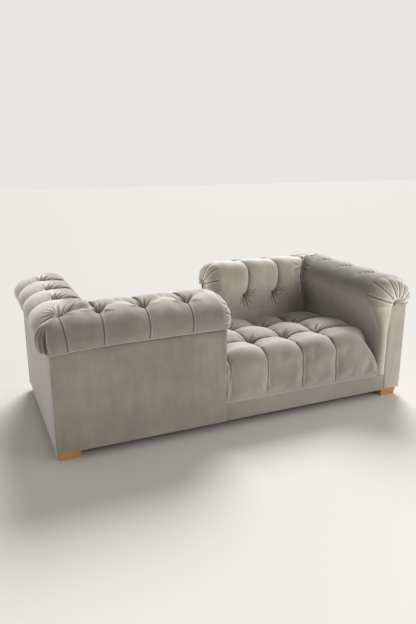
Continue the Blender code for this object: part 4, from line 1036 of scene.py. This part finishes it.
def seamNodes():   # a thin cord of cloth along each path, a little uneven
    group = bpy.data.node_groups.new("rolledSeam", "GeometryNodeTree")
    for label, kind in (("Path", "Geometry"), ("Radius", "Float"), ("Uneven", "Float"), ("Seed", "Int"),
                        ("Cloth", "Material")):
        group.interface.new_socket(label, in_out="INPUT", socket_type="NodeSocket" + kind)
    group.interface.new_socket("Seam", in_out="OUTPUT", socket_type="NodeSocketGeometry")
    given = group.nodes.new("NodeGroupInput").outputs
    more, less = (addNode(group, "ShaderNodeMath", {0: 1.0, 1: given["Uneven"]}) for _ in range(2))
    more.operation, less.operation = "ADD", "SUBTRACT"
    wander = addNode(group, "FunctionNodeRandomValue", {2: less.outputs[0], 3: more.outputs[0],
                                                        "Seed": given["Seed"]}).outputs[1]
    curve = addNode(group, "GeometryNodeMeshToCurve", {"Mesh": given["Path"]})
    curve = addNode(group, "GeometryNodeSetCurveRadius", {"Curve": curve.outputs["Curve"],
                                                          "Radius": wander})
    ring = addNode(group, "GeometryNodeCurvePrimitiveCircle", {"Resolution": 8, "Radius": given["Radius"]})
    cord = addNode(group, "GeometryNodeCurveToMesh", {
        "Curve": curve.outputs["Curve"], "Scale": wander, "Profile Curve": ring.outputs["Curve"],
        "Fill Caps": True})
    cord = addNode(group, "GeometryNodeRealizeInstances", {"Geometry": cord.outputs["Mesh"]})
    cord = addNode(group, "GeometryNodeSetMaterial", {"Geometry": cord.outputs["Geometry"],
                                                      "Material": given["Cloth"]})
    addNode(group, "NodeGroupOutput", {"Seam": cord.outputs["Geometry"]})
    return group


def sewSeams(paths, material):
    points, edges = [], []
    for path in paths:
        edges += [(len(points) + k, len(points) + k + 1) for k in range(len(path) - 1)]
        points += [tuple(float(c) for c in point) for point in path]
    line = bpy.data.meshes.new("seamPath")
    line.from_pydata(points, edges, [])
    carrier = bpy.data.objects.new("seamPath", line)
    scene.collection.objects.link(carrier)
    sewing = carrier.modifiers.new("rolledSeam", "NODES")
    sewing.node_group = seamGroup
    given = dict(Radius=seams["radius"], Uneven=seams["uneven"], Seed=seams["seed"], Cloth=material)
    for item in seamGroup.interface.items_tree:
        if item.in_out == "INPUT" and item.name in given:
            sewing[item.identifier] = given[item.name]
    bpy.context.view_layer.update()
    ready = carrier.evaluated_get(bpy.context.evaluated_depsgraph_get())
    mesh = bpy.data.meshes.new_from_object(ready)
    carrier.modifiers.remove(sewing)
    bpy.data.objects.remove(carrier)
    # the cords are painted lighter than the velvet: a painted highlight along each seam
    shade = mesh.attributes.new("tone", "FLOAT", "POINT")
    shade.data.foreach_set("value", np.full(len(mesh.vertices), seams["tone"], np.float32))
    mesh.shade_smooth()
    return mesh


def between(start, end):   # even points along a straight seam
    count = max(2, int(np.linalg.norm(np.subtract(end, start)) / seams["step"]))
    return [np.add(start, np.subtract(end, start) * k / count) for k in range(count + 1)]


seamGroup = seamNodes()
endX, endY = backReach - halfLength + coverDepth, armReach - halfDepth + coverDepth
cornerX, cornerY = seams["inset"] - halfLength, seams["inset"] - halfDepth
uprights = [(cornerX, cornerY), (endX - seams["inset"], cornerY), (cornerX, endY - seams["inset"])]
besideStrip = (fan["facingWidth"] - halfLength, endY - 0.002)
halfSeams = [hemPath] + [between((*spot, baseZ), (*spot, hemZ)) for spot in uprights]
halfSeams.append(between((*besideStrip, armFoot), (*besideStrip, fan["buttonZ"] - 0.016)))
addPair("Seams", sewSeams(halfSeams, velvet), velvet, [])
bandY, bandZ = 0.0005 - frontY, bandTop + 0.0002
bandPaths = [between((turn * endX, turn * bandY, bandZ), (turn * seatX, turn * bandY, bandZ))
             for turn in (1, -1)]
addPiece("bandSeams", sewSeams(bandPaths, velvet), velvet, [])
print("stage: rolled seams")

# Floor, lights and camera
stage = dict(floor=(0.74, 0.72, 0.70), back=(0.80, 0.79, 0.775), light=(1.0, 0.985, 0.96), ambient=0.42)
lamps = dict(
    key=dict(kind="SUN", place=(1.5, 2.6, 3.3), aim=(0.0, 0.0, 0.4), size=0.5, power=3.0,
             colour=(1.0, 0.99, 0.975)),
    front=dict(kind="AREA", place=(2.4, -3.6, 2.0), aim=(0.3, 0.0, 0.4), size=2.4, power=36,
               colour=(1.0, 0.985, 0.96)))
shot = dict(place=(-1.3668, -3.0697, 1.4677), yaw=23.54, pitch=15.80, lens=33.16, sensor=36.0)

floorMaterial, tree, shader, _ = newMaterial("floorMaterial")
feed(tree, shader, {"Base Color": (*stage["floor"], 1), "Roughness": 0.9})
floorMesh = bpy.data.meshes.new("floor")
floorMesh.from_pydata([(-20, -20, 0), (20, -20, 0), (20, 20, 0), (-20, 20, 0)], [], [(0, 1, 2, 3)])
floorMesh.materials.append(floorMaterial)
floor = bpy.data.objects.new("floor", floorMesh)
scene.collection.objects.link(floor)

world = bpy.data.worlds.new("studio")
scene.world = world
world.use_nodes = True
tree = world.node_tree
tree.nodes.clear()
rays = tree.nodes.new("ShaderNodeLightPath")
soft = addNode(tree, "ShaderNodeBackground", {"Color": (*stage["light"], 1), "Strength": stage["ambient"]})
seen = addNode(tree, "ShaderNodeBackground", {"Color": (*stage["back"], 1)})
choose = addNode(tree, "ShaderNodeMixShader", {
    "Fac": rays.outputs["Is Camera Ray"], 1: soft.outputs["Background"], 2: seen.outputs["Background"]})
addNode(tree, "ShaderNodeOutputWorld", {"Surface": choose.outputs["Shader"]})

for name, lamp in lamps.items():
    data = bpy.data.lights.new(name, lamp["kind"])
    if lamp["kind"] == "SUN":
        data.angle = lamp["size"]   # a wide, soft window
    else:
        data.shape = "DISK"
        data.size = lamp["size"]
    data.energy = lamp["power"]
    data.color = lamp["colour"]
    light = bpy.data.objects.new(name, data)
    light.location = lamp["place"]
    aim = Vector(lamp["aim"]) - light.location
    light.rotation_euler = aim.to_track_quat("-Z", "Y").to_euler()
    scene.collection.objects.link(light)

cameraData = bpy.data.cameras.new("camera")
cameraData.lens = shot["lens"]
cameraData.sensor_width = shot["sensor"]
camera = bpy.data.objects.new("camera", cameraData)
camera.location = shot["place"]
camera.rotation_euler = (math.radians(90 - shot["pitch"]), 0, -math.radians(shot["yaw"]))
scene.collection.objects.link(camera)
scene.camera = camera

print("stage: scene ready")
